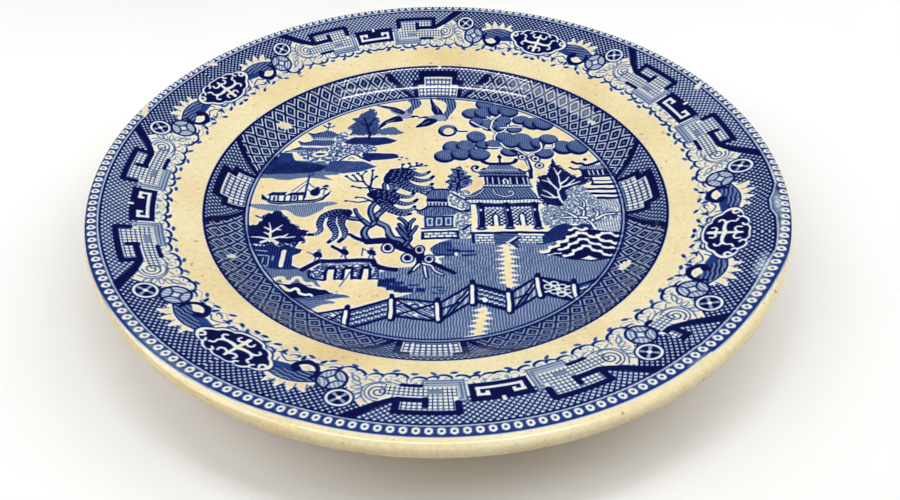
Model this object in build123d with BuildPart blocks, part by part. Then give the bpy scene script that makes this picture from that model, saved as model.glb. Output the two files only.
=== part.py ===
"""China dinner plate with a printed face: clay body, dipped glaze and underglaze prints.

Millimetres, +Z up, origin on the table at the centre of the foot ring.
Every piece is a solid of revolution.  The finished outline is one smooth run of
straights and arcs, from the centre of the well, out over the rim and back to the foot.
Clay, prints and glaze are bands of that outline between two depths below the surface.
"""
import os
from math import asin, cos, hypot, pi, radians, sin, tan

from build123d import *

# Overall size
rim_radius = 127.0
overall_height = 28.0

# Face of the plate
floor_radius = 70.0
cove_radius = 21.0
cove_angle = radians(47.0)
shoulder_radius = 10.0
flange_slope = radians(20.5)
lip_radius = 2.6

# Foot ring
foot_outer_radius = 77.0
foot_inner_radius = 72.0
foot_root_fillet = 0.8
foot_edge_fillet = 0.5
foot_well_height = 1.2
bare_foot_height = 0.5

# Coats on the clay
glaze_thickness = 0.5
print_thickness = 0.2

# Edges of the prints, as radii on the face
scene_edge_radius = 74.5
band_inner_radius = 74.9
band_outer_radius = 89.6
border_inner_radius = 99.5
border_outer_radius = 125.7


class Straight:
    """A straight run of the outline."""

    def __init__(self, start, end):
        self.start = start
        self.end = end
        self.length = hypot(end[0] - start[0], end[1] - start[1])

    def at(self, share, depth):
        """Point a share of the way along, a depth into the clay."""
        along = [(end - start) / self.length for start, end in zip(self.start, self.end)]
        distance = share * self.length
        return (
            self.start[0] + along[0] * distance + along[1] * depth,
            self.start[1] + along[1] * distance - along[0] * depth,
        )

    def draw(self, first, last, depth):
        Line(self.at(first, depth), self.at(last, depth))


class Arc:
    """A round run of the outline: clay lies outside it where it turns left, inside where right."""

    def __init__(self, centre, radius, start_angle, end_angle):
        self.centre = centre
        self.radius = radius
        self.start_angle = start_angle
        self.end_angle = end_angle
        self.side = 1.0 if end_angle > start_angle else -1.0
        self.length = radius * abs(end_angle - start_angle)

    def at(self, share, depth):
        """Point a share of the way round, a depth into the clay."""
        angle = self.start_angle + share * (self.end_angle - self.start_angle)
        reach = self.radius + self.side * depth
        return self.centre[0] + reach * cos(angle), self.centre[1] + reach * sin(angle)

    def draw(self, first, last, depth):
        middle = (first + last) / 2
        ThreePointArc(self.at(first, depth), self.at(middle, depth), self.at(last, depth))


# Finished outline.  The flange is tangent to the lip, and that sets the height of the floor.
half_pi = pi / 2
wall = 2 * lip_radius
lip_centre = (rim_radius - lip_radius, overall_height - lip_radius)
flange_top = (
    lip_centre[0] - lip_radius * sin(flange_slope),
    lip_centre[1] + lip_radius * cos(flange_slope),
)
flange_foot_r = (
    floor_radius
    + (cove_radius + shoulder_radius) * sin(cove_angle)
    - shoulder_radius * sin(flange_slope)
)
flange_foot_z = flange_top[1] - (flange_top[0] - flange_foot_r) * tan(flange_slope)
floor_height = (
    flange_foot_z
    - cove_radius * (1 - cos(cove_angle))
    - shoulder_radius * (cos(flange_slope) - cos(cove_angle))
)
cove_centre = (floor_radius, floor_height + cove_radius)
shoulder_centre = (
    flange_foot_r + shoulder_radius * sin(flange_slope),
    flange_foot_z - shoulder_radius * cos(flange_slope),
)
back_cove_radius = cove_radius + wall
back_shoulder_radius = shoulder_radius - wall
root_reach = back_cove_radius + foot_root_fillet
root_angle = asin((foot_outer_radius + foot_root_fillet - floor_radius) / root_reach)
root_centre = (
    cove_centre[0] + root_reach * sin(root_angle),
    cove_centre[1] - root_reach * cos(root_angle),
)
back_flange_start = (
    lip_centre[0] + lip_radius * sin(flange_slope),
    lip_centre[1] - lip_radius * cos(flange_slope),
)
back_flange_end = (
    shoulder_centre[0] - back_shoulder_radius * sin(flange_slope),
    shoulder_centre[1] + back_shoulder_radius * cos(flange_slope),
)

outline = [
    Straight((0.0, floor_height), (floor_radius, floor_height)),
    Arc(cove_centre, cove_radius, -half_pi, cove_angle - half_pi),
    Arc(shoulder_centre, shoulder_radius, half_pi + cove_angle, half_pi + flange_slope),
    Straight((flange_foot_r, flange_foot_z), flange_top),
    Arc(lip_centre, lip_radius, half_pi + flange_slope, flange_slope - half_pi),
    Straight(back_flange_start, back_flange_end),
    Arc(shoulder_centre, back_shoulder_radius, half_pi + flange_slope, half_pi + cove_angle),
    Arc(cove_centre, back_cove_radius, cove_angle - half_pi, root_angle - half_pi),
    Arc(root_centre, foot_root_fillet, half_pi + root_angle, pi),
    Straight((foot_outer_radius, root_centre[1]), (foot_outer_radius, bare_foot_height)),
]
outline_length = sum(run.length for run in outline)
face_length = sum(run.length for run in outline[:4]) + lip_radius * (half_pi + flange_slope)


def face_radius(distance):
    """Radius of the finished face at a distance along it from the centre."""
    for run in outline:
        if distance <= run.length:
            return run.at(distance / run.length, 0.0)[0]
        distance -= run.length
    return 0.0


def station(radius):
    """Distance along the finished face, from the centre, at which it reaches a radius."""
    low, high = 0.0, face_length
    for _ in range(60):
        middle = (low + high) / 2
        if face_radius(middle) < radius:
            low = middle
        else:
            high = middle
    return low


def stretches(start, stop):
    """The runs between two stations, each with its first and last share."""
    found = []
    travelled = 0.0
    for run in outline:
        first = max(start - travelled, 0.0) / run.length
        last = min(stop - travelled, run.length) / run.length
        if last - first > 1e-9:
            found.append((run, first, last))
        travelled += run.length
    return found


def trace(start, stop, depth):
    """Draw the outline between two stations at one depth, and give its two end points."""
    pieces = stretches(start, stop)
    for run, first, last in pieces:
        run.draw(first, last, depth)
    first_run, first_share, _ = pieces[0]
    last_run, _, last_share = pieces[-1]
    return first_run.at(first_share, depth), last_run.at(last_share, depth)


scene_edge = station(scene_edge_radius)
band_edges = station(band_inner_radius), station(band_outer_radius)
border_edges = station(border_inner_radius), station(border_outer_radius)
over_print = glaze_thickness - print_thickness


def print_layer(start, stop):
    """A print: a thin layer of colour lying on the clay, under the glaze."""
    with BuildPart() as layer:
        with BuildSketch(Plane.XZ):
            with BuildLine():
                top_start, top_end = trace(start, stop, over_print)
                under_start, under_end = trace(start, stop, glaze_thickness)
                Line(top_start, under_start)
                Line(top_end, under_end)
            make_face()
        revolve(axis=Axis.Z)
    return layer


# 1. Clay body, with the bare foot ring that stands on the table
foot_wall_radius = foot_outer_radius - glaze_thickness
foot_bore_radius = foot_inner_radius + glaze_thickness
clay_well_height = foot_well_height + glaze_thickness
with BuildPart() as earthenware_body:
    with BuildSketch(Plane.XZ):
        with BuildLine():
            centre_top, foot_wall_top = trace(0.0, outline_length, glaze_thickness)
            Polyline(
                foot_wall_top,
                (foot_wall_radius, 0.0),
                (foot_bore_radius, 0.0),
                (foot_bore_radius, clay_well_height),
                (0.0, clay_well_height),
                centre_top,
            )
        profile = make_face()
        foot_corners = [v for v in profile.vertices() if abs(v.Z) < 1e-6 and abs(v.Y) < 1e-6]
        fillet(foot_corners, radius=foot_edge_fillet)
    revolve(axis=Axis.Z)

# 2 to 4. Prints on the clay: the scene, the band round it and the border on the rim
scene_print = print_layer(0.0, scene_edge)
shoulder_band_print = print_layer(*band_edges)
rim_border_print = print_layer(*border_edges)

# 5. Glaze over the face, the lip and the back, down to the foot ring
coat_stations = [
    (0.0, scene_edge, over_print),
    (scene_edge, band_edges[0], glaze_thickness),
    (*band_edges, over_print),
    (band_edges[1], border_edges[0], glaze_thickness),
    (*border_edges, over_print),
    (border_edges[1], outline_length, glaze_thickness),
]
with BuildPart() as glaze_coat:
    with BuildSketch(Plane.XZ):
        with BuildLine():
            outer_start, outer_end = trace(0.0, outline_length, 0.0)
            last_point = outer_start
            for start, stop, depth in coat_stations:
                inner_start, inner_end = trace(start, stop, depth)
                Line(last_point, inner_start)
                last_point = inner_end
            Line(last_point, outer_end)
        make_face()
    revolve(axis=Axis.Z)

# 6. Glaze inside the foot ring
with BuildPart() as foot_well_glaze:
    with BuildSketch(Plane.XZ):
        with BuildLine():
            Polyline(
                (0.0, foot_well_height),
                (foot_inner_radius, foot_well_height),
                (foot_inner_radius, bare_foot_height),
                (foot_bore_radius, bare_foot_height),
                (foot_bore_radius, clay_well_height),
                (0.0, clay_well_height),
                close=True,
            )
        make_face()
    revolve(axis=Axis.Z)

pieces = {
    "earthenware_body": earthenware_body,
    "scene_print": scene_print,
    "shoulder_band_print": shoulder_band_print,
    "rim_border_print": rim_border_print,
    "glaze_coat": glaze_coat,
    "foot_well_glaze": foot_well_glaze,
}
os.makedirs("parts", exist_ok=True)
for name, piece in pieces.items():
    piece.part.label = name
    export_step(piece.part, f"parts/{name}.step")
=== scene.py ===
"""China dinner plate: the printed, glazed faces are meshed on the CAD plate's own outline.

The decoration is drawn in code, in millimetres, and stored as one number of ink per mesh point.
Ink 0 is the bare ivory glaze and ink 1 the darkest cobalt.
"""

import math

import bpy
import numpy as np
from mathutils import Matrix, Vector


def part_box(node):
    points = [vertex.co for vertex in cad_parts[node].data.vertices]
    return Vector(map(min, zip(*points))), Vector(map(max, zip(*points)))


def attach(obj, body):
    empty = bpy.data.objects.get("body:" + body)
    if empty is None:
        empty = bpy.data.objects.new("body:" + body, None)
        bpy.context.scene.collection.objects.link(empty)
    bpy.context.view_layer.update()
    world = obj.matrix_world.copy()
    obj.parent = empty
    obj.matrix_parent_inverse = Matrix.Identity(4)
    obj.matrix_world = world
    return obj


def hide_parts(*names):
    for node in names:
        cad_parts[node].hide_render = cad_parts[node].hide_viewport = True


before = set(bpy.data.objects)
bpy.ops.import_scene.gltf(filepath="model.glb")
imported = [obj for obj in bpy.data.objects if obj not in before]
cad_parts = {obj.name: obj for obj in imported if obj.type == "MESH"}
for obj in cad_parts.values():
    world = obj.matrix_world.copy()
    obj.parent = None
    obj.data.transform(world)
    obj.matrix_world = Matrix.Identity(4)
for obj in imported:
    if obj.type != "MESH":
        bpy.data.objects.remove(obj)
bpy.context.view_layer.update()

MM = 0.001
_, high_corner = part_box("glaze_coat")
RIM_RADIUS = high_corner[0] / MM
PLATE_HEIGHT = high_corner[2] / MM

# Driving dimensions of the outline, in mm, the same as the part's, up to COAT.  Then how far the
# blush fades in from a coat's ends, its narrow first row, and the step that finds a slope
FLOOR_RADIUS = 70.0
COVE_RADIUS = 21.0
COVE_ANGLE = math.radians(47.0)
SHOULDER_RADIUS = 10.0
FLANGE_SLOPE = math.radians(20.5)
LIP_RADIUS = 2.6
FOOT_RADIUS = 77.0
FOOT_FILLET = 0.8
BARE_FOOT = 0.5
COAT = 0.45
FLOW_FADE = 1.2
NARROW_ROW = 0.02
NUDGE = 0.02

# Radii where one piece ends and the next starts
SCENE_EDGE = 74.7
BAND_EDGE = 89.6
BORDER_START = 94.2
BORDER_END = 126.2

# How finely each piece is meshed: cells across the disc, or columns round a ring and mm from row to row
SCENE_CELLS = 424
BAND_NET = (1536, 0.33)
FLANGE_NET = (1024, 0.7)
BORDER_NET = (2048, 0.35)
BACK_NET = (768, 0.5)


# ---------------------------------------------------------------- outline of the plate
def arc_points(centre, radius, start, end, step=0.05):
    """Points round an arc, its angles in radians."""
    count = max(int(radius * abs(end - start) / step), 4)
    angles = np.linspace(start, end, count)
    return np.column_stack([centre[0] + radius * np.cos(angles), centre[1] + radius * np.sin(angles)])


def straight_points(start, end, step=0.25):
    """Points along a straight run."""
    count = max(int(math.dist(start, end) / step), 2)
    return np.linspace(start, end, count)


def plate_outline():
    """The finished outline as (radius, height) points: centre, face, lip, back, foot."""
    half_pi = math.pi / 2
    wall = 2 * LIP_RADIUS
    slope_sin, slope_cos = math.sin(FLANGE_SLOPE), math.cos(FLANGE_SLOPE)
    lip = (RIM_RADIUS - LIP_RADIUS, PLATE_HEIGHT - LIP_RADIUS)
    flange_top = (lip[0] - LIP_RADIUS * slope_sin, lip[1] + LIP_RADIUS * slope_cos)
    flange_foot_r = FLOOR_RADIUS + (COVE_RADIUS + SHOULDER_RADIUS) * math.sin(COVE_ANGLE)
    flange_foot_r -= SHOULDER_RADIUS * slope_sin
    flange_foot_z = flange_top[1] - (flange_top[0] - flange_foot_r) * math.tan(FLANGE_SLOPE)
    floor = flange_foot_z - COVE_RADIUS * (1 - math.cos(COVE_ANGLE))
    floor -= SHOULDER_RADIUS * (slope_cos - math.cos(COVE_ANGLE))
    cove = (FLOOR_RADIUS, floor + COVE_RADIUS)
    shoulder = (flange_foot_r + SHOULDER_RADIUS * slope_sin, flange_foot_z - SHOULDER_RADIUS * slope_cos)
    back_shoulder = SHOULDER_RADIUS - wall
    back_start = (lip[0] + LIP_RADIUS * slope_sin, lip[1] - LIP_RADIUS * slope_cos)
    back_end = (shoulder[0] - back_shoulder * slope_sin, shoulder[1] + back_shoulder * slope_cos)
    reach = COVE_RADIUS + wall + FOOT_FILLET
    root_angle = math.asin((FOOT_RADIUS + FOOT_FILLET - FLOOR_RADIUS) / reach)
    root = (cove[0] + reach * math.sin(root_angle), cove[1] - reach * math.cos(root_angle))
    lean, steep = half_pi + FLANGE_SLOPE, half_pi + COVE_ANGLE
    runs = [
        straight_points((0.0, floor), (FLOOR_RADIUS, floor)),
        arc_points(cove, COVE_RADIUS, -half_pi, COVE_ANGLE - half_pi),
        arc_points(shoulder, SHOULDER_RADIUS, steep, lean),
        straight_points((flange_foot_r, flange_foot_z), flange_top),
        arc_points(lip, LIP_RADIUS, lean, FLANGE_SLOPE - half_pi),
        straight_points(back_start, back_end),
        arc_points(shoulder, back_shoulder, lean, steep),
        arc_points(cove, COVE_RADIUS + wall, COVE_ANGLE - half_pi, root_angle - half_pi),
        arc_points(root, FOOT_FILLET, half_pi + root_angle, math.pi),
        straight_points((FOOT_RADIUS, root[1]), (FOOT_RADIUS, BARE_FOOT)),
    ]
    kept = [runs[0]] + [run[1:] for run in runs[1:]]
    return np.vstack(kept), flange_top[0]


OUTLINE, LIP_START = plate_outline()
TRAVEL = np.concatenate([[0.0], np.cumsum(np.hypot(*np.diff(OUTLINE, axis=0).T))])
OUTERMOST = int(np.argmax(OUTLINE[:, 0]))


def along(distance, depth=0.0):
    """Radius and height at distances along the outline, a depth into the clay."""
    distance = np.asarray(distance, dtype=float)
    here = np.column_stack([np.interp(distance, TRAVEL, OUTLINE[:, k]) for k in (0, 1)])
    ahead = np.column_stack([np.interp(distance + NUDGE, TRAVEL, OUTLINE[:, k]) for k in (0, 1)])
    behind = np.column_stack([np.interp(distance - NUDGE, TRAVEL, OUTLINE[:, k]) for k in (0, 1)])
    way = ahead - behind
    way /= np.hypot(way[:, 0], way[:, 1])[:, None]
    return here + depth * np.column_stack([way[:, 1], -way[:, 0]])


def travel_at(radius):
    """Distance along the face at which it reaches a radius."""
    return float(np.interp(radius, OUTLINE[: OUTERMOST + 1, 0], TRAVEL[: OUTERMOST + 1]))


# ---------------------------------------------------------------- drawing with ink
def smooth_path(points, closed=False, steps=6):
    """A Catmull-Rom curve through a few points."""
    points = np.asarray(points, dtype=float)
    count = len(points)
    if closed:
        before, start, end, after = (np.roll(points, shift, axis=0) for shift in (1, 0, -1, -2))
    else:
        padded = np.vstack([2 * points[0] - points[1], points, 2 * points[-1] - points[-2]])
        before, start, end, after = (padded[k : k + count - 1] for k in range(4))
    t = (np.arange(steps) / steps)[None, :, None]
    before, start, end, after = (row[:, None, :] for row in (before, start, end, after))
    curve = 0.5 * (
        2 * start
        + (end - before) * t
        + (2 * before - 5 * start + 4 * end - after) * t**2
        + (3 * start - before - 3 * end + after) * t**3
    )
    curve = curve.reshape(-1, 2)
    return curve if closed else np.vstack([curve, points[-1]])


def segment_distance(x, y, start, end):
    """Distance to a segment, and how far along it the nearest point is."""
    dx, dy = end[0] - start[0], end[1] - start[1]
    size = dx * dx + dy * dy or 1e-12
    share = np.clip(((x - start[0]) * dx + (y - start[1]) * dy) / size, 0.0, 1.0)
    return np.hypot(x - start[0] - share * dx, y - start[1] - share * dy), share


class Drawing:
    """Ink on the points of a sheet.  x and y are the points' places in the drawing, in mm."""

    def __init__(self, x, y, spacing):
        self.x = x
        self.y = y
        self.soft = spacing
        self.ink = np.zeros_like(x)

    def near(self, points, margin):
        """The sheet's points in the box round some points."""
        low = np.min(points, axis=0) - margin
        high = np.max(points, axis=0) + margin
        inside = (self.x > low[0]) & (self.x < high[0]) & (self.y > low[1]) & (self.y < high[1])
        return np.nonzero(inside)[0]

    def lay(self, where, cover, tone):
        """Cover some points with a tone: a number, or a pattern given as a function of x, y."""
        value = tone(self.x[where], self.y[where]) if callable(tone) else tone
        self.ink[where] += np.clip(cover, 0.0, 1.0) * (value - self.ink[where])

    def fill(self, points, tone, smooth=False, steps=6):
        """A filled outline."""
        edge = smooth_path(points, True, steps) if smooth else np.asarray(points, dtype=float)
        where = self.near(edge, self.soft)
        if not len(where):
            return
        x, y = self.x[where], self.y[where]
        inside = np.zeros(len(where), dtype=bool)
        nearest = np.full(len(where), 1e9)
        for start, end in zip(edge, np.roll(edge, -1, axis=0)):
            distance, _ = segment_distance(x, y, start, end)
            np.minimum(nearest, distance, out=nearest)
            if start[1] != end[1]:
                crosses = (start[1] > y) != (end[1] > y)
                at = start[0] + (y - start[1]) * (end[0] - start[0]) / (end[1] - start[1])
                inside ^= crosses & (x < at)
        depth = np.where(inside, nearest, -nearest)
        self.lay(where, 0.5 + depth / self.soft, tone)

    def line(self, points, width, tone, smooth=True, steps=6):
        """A line of one width, or of a width that runs from one value to another."""
        path = smooth_path(points, False, steps) if smooth else np.asarray(points, dtype=float)
        widths = np.linspace(*width, len(path)) if isinstance(width, tuple) else [width] * len(path)
        where = self.near(path, max(widths) / 2 + self.soft)
        if not len(where):
            return
        x, y = self.x[where], self.y[where]
        depth = np.full(len(where), -1e9)
        for k in range(len(path) - 1):
            distance, share = segment_distance(x, y, path[k], path[k + 1])
            half = (widths[k] + (widths[k + 1] - widths[k]) * share) / 2
            np.maximum(depth, half - distance, out=depth)
        self.lay(where, 0.5 + depth / self.soft, tone)

    def box(self, left, bottom, right, top, tone):
        """A filled upright rectangle."""
        self.fill([(left, bottom), (right, bottom), (right, top), (left, top)], tone)

    def oval(self, centre, radii, tone, turn=0.0):
        """A filled oval, turned by an angle in degrees."""
        reach = max(radii)
        where = self.near([centre], reach + self.soft)
        if not len(where):
            return
        angle = math.radians(turn)
        dx, dy = self.x[where] - centre[0], self.y[where] - centre[1]
        along_axis = dx * math.cos(angle) + dy * math.sin(angle)
        across_axis = dy * math.cos(angle) - dx * math.sin(angle)
        share = np.hypot(along_axis / radii[0], across_axis / radii[1])
        self.lay(where, 0.5 + (1 - share) * min(radii) / self.soft, tone)

    def ring(self, centre, radius, width, tone):
        """A round outline."""
        where = self.near([centre], radius + width + self.soft)
        distance = np.hypot(self.x[where] - centre[0], self.y[where] - centre[1])
        self.lay(where, 0.5 + (width / 2 - np.abs(distance - radius)) / self.soft, tone)


def stripes(pitch, light, dark, angle=0.0, wave=0.0, share=0.5):
    """Engraved lines: angle 0 gives upright lines, wave bends them."""
    turn = math.radians(angle)

    def tone(x, y):
        across_lines = x * math.cos(turn) + y * math.sin(turn)
        along_lines = y * math.cos(turn) - x * math.sin(turn)
        bent = across_lines + wave * np.sin(along_lines * 1.3 + 0.6 * np.sin(along_lines * 0.45))
        level = 0.5 + 0.5 * np.cos(2 * math.pi * bent / pitch)
        return light + (dark - light) * np.clip((level - share) * 2.2 + 0.5, 0.0, 1.0)

    return tone


def lattice(pitch, light, dark, share=0.3):
    """Crossed diagonal lines that leave light lozenges."""

    def tone(x, y):
        first = np.abs((x + y) / pitch % 1.0 - 0.5)
        second = np.abs((x - y) / pitch % 1.0 - 0.5)
        level = np.clip((share - np.maximum(first, second)) * 6.0 + 0.5, 0.0, 1.0)
        return dark + (light - dark) * level

    return tone


def grid(pitch, light, dark, share=0.3):
    """Crossed upright and level lines that leave light squares."""

    def tone(x, y):
        first = np.abs(x / pitch % 1.0 - 0.5)
        second = np.abs(y / pitch % 1.0 - 0.5)
        level = np.clip((share - np.maximum(first, second)) * 6.0 + 0.5, 0.0, 1.0)
        return dark + (light - dark) * level

    return tone


def checks(pitch, light, dark):
    """A chequered pattern."""

    def tone(x, y):
        level = np.sin(math.pi * x / pitch) * np.sin(math.pi * y / pitch)
        return light + (dark - light) * np.clip(level * 2.5 + 0.5, 0.0, 1.0)

    return tone


def nested_lozenges(pitch):
    """The band's lattice: dark squares on their corners, each inside a white line."""
    shades = [(0.0, 0.34), (0.28, 0.45), (0.62, 0.93), (1.12, 0.93), (1.40, 0.16), (1.74, 0.12),
              (2.02, 0.92), (2.3, 1.0)]
    rise = 1.06

    def tone(x, y):
        first = ((x + y - rise) / math.sqrt(2)) / pitch % 1.0 - 0.5
        second = ((x - y + rise) / math.sqrt(2)) / pitch % 1.0 - 0.5
        out = np.maximum(np.abs(first), np.abs(second)) * pitch
        return np.interp(out, [place for place, _ in shades], [ink for _, ink in shades])

    return tone


def scatter(cell, seed):
    """Three numbers from 0 to 1 for each cell of a net, the same on every run."""
    column, row = cell
    mixed = np.sin(column * 12.9898 + row * 78.233 + seed) * 43758.5453
    return mixed % 1.0, mixed * 1.7 % 1.0, mixed * 2.9 % 1.0


def stipple(pitch, light, dark, seed=0.0, share=0.42):
    """Scattered short strokes, one in each cell of a net, turned every way."""

    def tone(x, y):
        level = np.zeros_like(x)
        for step_x in (-1, 0, 1):
            for step_y in (-1, 0, 1):
                column, row = np.floor(x / pitch) + step_x, np.floor(y / pitch) + step_y
                across, up, turn = scatter((column, row), seed)
                dx, dy = x / pitch - column - across, y / pitch - row - up
                angle = turn * math.pi
                longways = dx * np.cos(angle) + dy * np.sin(angle)
                sideways = dy * np.cos(angle) - dx * np.sin(angle)
                reach = np.hypot(longways / 0.85, sideways / share)
                np.maximum(level, np.clip((1.0 - reach) * 1.6 + 0.3, 0.0, 1.0), out=level)
        return light + (dark - light) * level

    return tone


def rounded_shade(centre, radii, light, dark):
    """A ball engraved with upright lines, darkening to its lower edge."""
    hatch = stripes(0.95, light, light + 0.22, wave=0.1)

    def tone(x, y):
        out = np.hypot((x - centre[0] - 0.12 * radii[0]) / radii[0],
                       (y - centre[1] - 0.34 * radii[1]) / radii[1])
        return np.maximum(hatch(x, y), np.interp(out, [0.0, 0.70, 0.98, 1.06, 1.5],
                                                 [0, light, light + 0.2, dark, dark]))

    return tone


# ---------------------------------------------------------------- the scene in the well
BARE, PALE, BLUE, DARK, NAVY = 0.0, 0.28, 0.72, 0.9, 1.0

# Places where the print skipped or wore away: x, y, half length, half width and turn
WORN = [(-66.5, 47.0, 3.3, 1.6, 25), (-73.0, -37.5, 1.9, 1.1, 60), (67.5, -41.5, 2.9, 1.6, 45),
        (69.5, 45.6, 2.3, 0.7, -48), (112.3, 46.4, 2.0, 1.1, 60), (-99.9, 70.2, 2.0, 1.1, 20),
        (-119.6, 31.0, 1.2, 4.0, 10), (3.0, 88.6, 1.3, 0.8, 80)]
BLOT = (71.8, 49.6, 1.2, 0.9, 40)


def wear(ink, x, y):
    """Bare the worn places, and darken the one blot."""
    for at_x, at_y, length, breadth, turn in WORN + [BLOT]:
        patch = Drawing(x + 0.25 * np.sin(2.9 * y), y + 0.25 * np.sin(3.7 * x), 0.5)
        patch.oval((at_x, at_y), (length, breadth), 1.0, turn)
        if (at_x, at_y) == BLOT[:2]:
            np.maximum(ink, patch.ink, out=ink)
        else:
            ink *= 1.0 - patch.ink


def edged(sheet, points, width, edge=0.5, tone=BARE, smooth=True):
    """A pale limb with a dark line along both its sides."""
    wide = tuple(w + 2 * edge for w in width) if isinstance(width, tuple) else width + 2 * edge
    sheet.line(points, wide, NAVY, smooth)
    sheet.line(points, width, tone, smooth)


def leafy(sheet, outline, tone, fringe=0.75):
    """Foliage: a body with a ragged fringe of small strokes round it."""
    middle = np.mean(outline, axis=0)
    wide = [tuple(middle + (np.array(point) - middle) * 1.12) for point in outline]
    sheet.fill(wide, stipple(1.2, BARE, fringe, seed=middle[0], share=0.36), smooth=True)
    sheet.fill(outline, tone, smooth=True)


def draw_water(sheet):
    """The river: upright wavy lines, two flames of light, reeds by the left bank."""
    river = [(-1, -29.5), (-1.5, -31), (1, -34), (3, -38), (-2, -39.5), (-9, -39.5), (-14.5, -40),
             (-20.2, -42.5), (-20, -45), (-19.5, -48.5), (-16, -50.5), (-12.5, -52), (-7.5, -52.6),
             (-11, -54), (-14, -54.8), (-30, -60), (-45, -66), (0, -90), (75, -60), (80, -24), (42, -24),
             (30, -27), (14, -24.5), (9, -24.5), (5, -25.5), (2, -26.6)]
    sheet.fill(river, stripes(1.04, 0.30, 0.65, wave=0.13, share=0.45))
    sheet.fill([(-1.5, -30), (0, -28.2), (2.5, -26.8), (6, -26), (7, -30), (7.5, -33.5), (3, -34.5),
                (0, -33.5)],
               stripes(1.0, 0.55, 0.85))
    for left, right, level in ((0.5, 8, -33.8), (7.5, 14.5, -31.7), (10.5, 15, -33.6), (5, 9, -31.2)):
        sheet.line([(left, level), (right, level + 0.3)], 0.9, 0.86, smooth=False)
    sheet.line([(0.4, -35.6), (2.2, -34.8), (3.6, -34.4)], 0.7, BARE)
    sheet.oval((8.1, -33.0), (0.6, 1.0), BARE)
    for x, y, wide, high in ((-17.6, -47.4, 2.2, 1.9), (-15.5, -46.4, 2, 1.3), (-14.2, -49.6, 2.4, 1.4),
                             (-11.6, -50.6, 2.4, 1.4), (-9.6, -51.6, 2.4, 0.8), (-12.6, -47.6, 1.8, 0.7),
                             (-8.6, -51.2, 1.2, 0.9), (-4.6, -51.2, 1.5, 0.9), (-7.2, -48.8, 1.7, 0.35)):
        sheet.fill([(x - wide, y - high), (x + wide, y - high), (x + wide, y + high), (x - wide, y + high)],
                   stripes(0.95, 0.70, 0.98))
    for left, right, level in ((-1, 3, -49.8), (-0.5, 3.4, -52.4), (1.5, 4, -51.2)):
        sheet.line([(left, level), (right, level)], 0.5, 0.78, smooth=False)


def flame(sheet, start, stop, teeth, seed):
    """Light on the water: a cream column with uneven teeth on both sides."""
    trunk = 1.05
    sheet.line([start, stop], 2 * trunk, BARE, smooth=False)
    for k in range(teeth):
        for side in (-1, 1):
            share = (k + 0.5 + 0.22 * side) / teeth
            middle = start[0] + share * (stop[0] - start[0])
            level = start[1] + share * (stop[1] - start[1])
            reach = 3.9 + 0.9 * math.sin(2.9 * k + seed + 1.7 * side)
            root = middle + side * trunk * 0.6
            sheet.fill([(root, level + 1.25), (middle + side * reach, level), (root, level - 0.75)], BARE)


def draw_flames(sheet):
    """The two lights on the river, one each side of the fence."""
    flame(sheet, (26.6, -28.6), (26.3, -49.4), 9, 0.4)
    flame(sheet, (17.0, -60.2), (13.2, -74.0), 6, 2.0)


def fence_panel(sheet, top_left, top_right, drop_left, drop_right, style):
    """One panel between two posts, drawn over the water."""
    low_left = (top_left[0], top_left[1] - drop_left)
    low_right = (top_right[0], top_right[1] - drop_right)
    grounds = {
        "dots": (0.58, 0.78), "cross": (0.20, 0.66), "lattice": (0.30, 0.60), "rows": (0.80, 0.95),
        "scroll": (0.90, 0.98),
    }
    light, dark = grounds[style]
    sheet.fill([top_left, top_right, low_right, low_left], stripes(1.1, light, dark, angle=60))

    def at(across, down):
        top = top_left[1] + across * (top_right[1] - top_left[1])
        drop = drop_left + across * (drop_right - drop_left)
        return top_left[0] + across * (top_right[0] - top_left[0]), top - down * drop

    if style in ("dots", "rows"):
        count = 13
        for level in (0.24, 0.50, 0.76):
            for k in range(count):
                sheet.oval(at((k + 0.5) / count, level + 0.04 * (k % 2)), (0.42, 0.42), 0.04)
        for level in (0.37, 0.64):
            sheet.line([at(0, level), at(1, level)], 0.5, NAVY, smooth=False)
            sheet.line([at(0, level + 0.05), at(1, level + 0.05)], 0.25, 0.3, smooth=False)
    if style == "cross":
        for k in range(7):
            sheet.oval(at((k + 0.5) / 7, 0.24 + 0.1 * (k % 2)), (0.8, 0.5), BARE)
            sheet.oval(at((k + 0.5) / 7, 0.70 + 0.1 * (k % 2)), (0.8, 0.5), BARE)
            sheet.line([at(k / 7, 0.46), at((k + 0.5) / 7, 0.38), at((k + 1) / 7, 0.48)], 0.35, 0.9)
        for across in (0.2, 0.5, 0.8):
            sheet.line([at(across - 0.12, 0.32), at(across, 0.24), at(across + 0.12, 0.36)], 0.5, NAVY)
        for ends in (((0, 0.02), (0.5, 0.60), (1, 0.96)), ((0, 0.95), (0.5, 0.52), (1, 0.06))):
            sheet.line([at(*end) for end in ends], 0.75, NAVY)
    if style == "lattice":
        for across in (0.22, 0.45, 0.68, 0.9):
            sheet.line([at(across - 0.12, 1), at(across + 0.02, 0.05)], 0.45, 0.10, smooth=False)
        for ends in (((0.04, 0.96), (0.98, 0.1)), ((0.02, 0.4), (0.6, 0.62)), ((0.25, 0.98), (0.98, 0.42))):
            sheet.line([at(*end) for end in ends], 0.7, NAVY, smooth=False)
    if style == "scroll":
        for sign in (-1, 1):
            sheet.line([at(0.06, 0.5 - 0.36 * sign), at(0.35, 0.5 - 0.14 * sign),
                        at(0.65, 0.5 + 0.14 * sign), at(0.94, 0.5 + 0.36 * sign)], 0.8, BARE)
        for across, down in ((0.18, 0.5), (0.42, 0.22), (0.58, 0.78), (0.82, 0.5), (0.36, 0.72),
                             (0.66, 0.3)):
            sheet.oval(at(across, down), (1.6, 1.2), BARE)
            sheet.oval(at(across, down), (0.9, 0.6), NAVY)
    for ends in ((top_left, top_right), (low_left, low_right)):
        sheet.line(ends, 0.95, NAVY, smooth=False)


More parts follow.
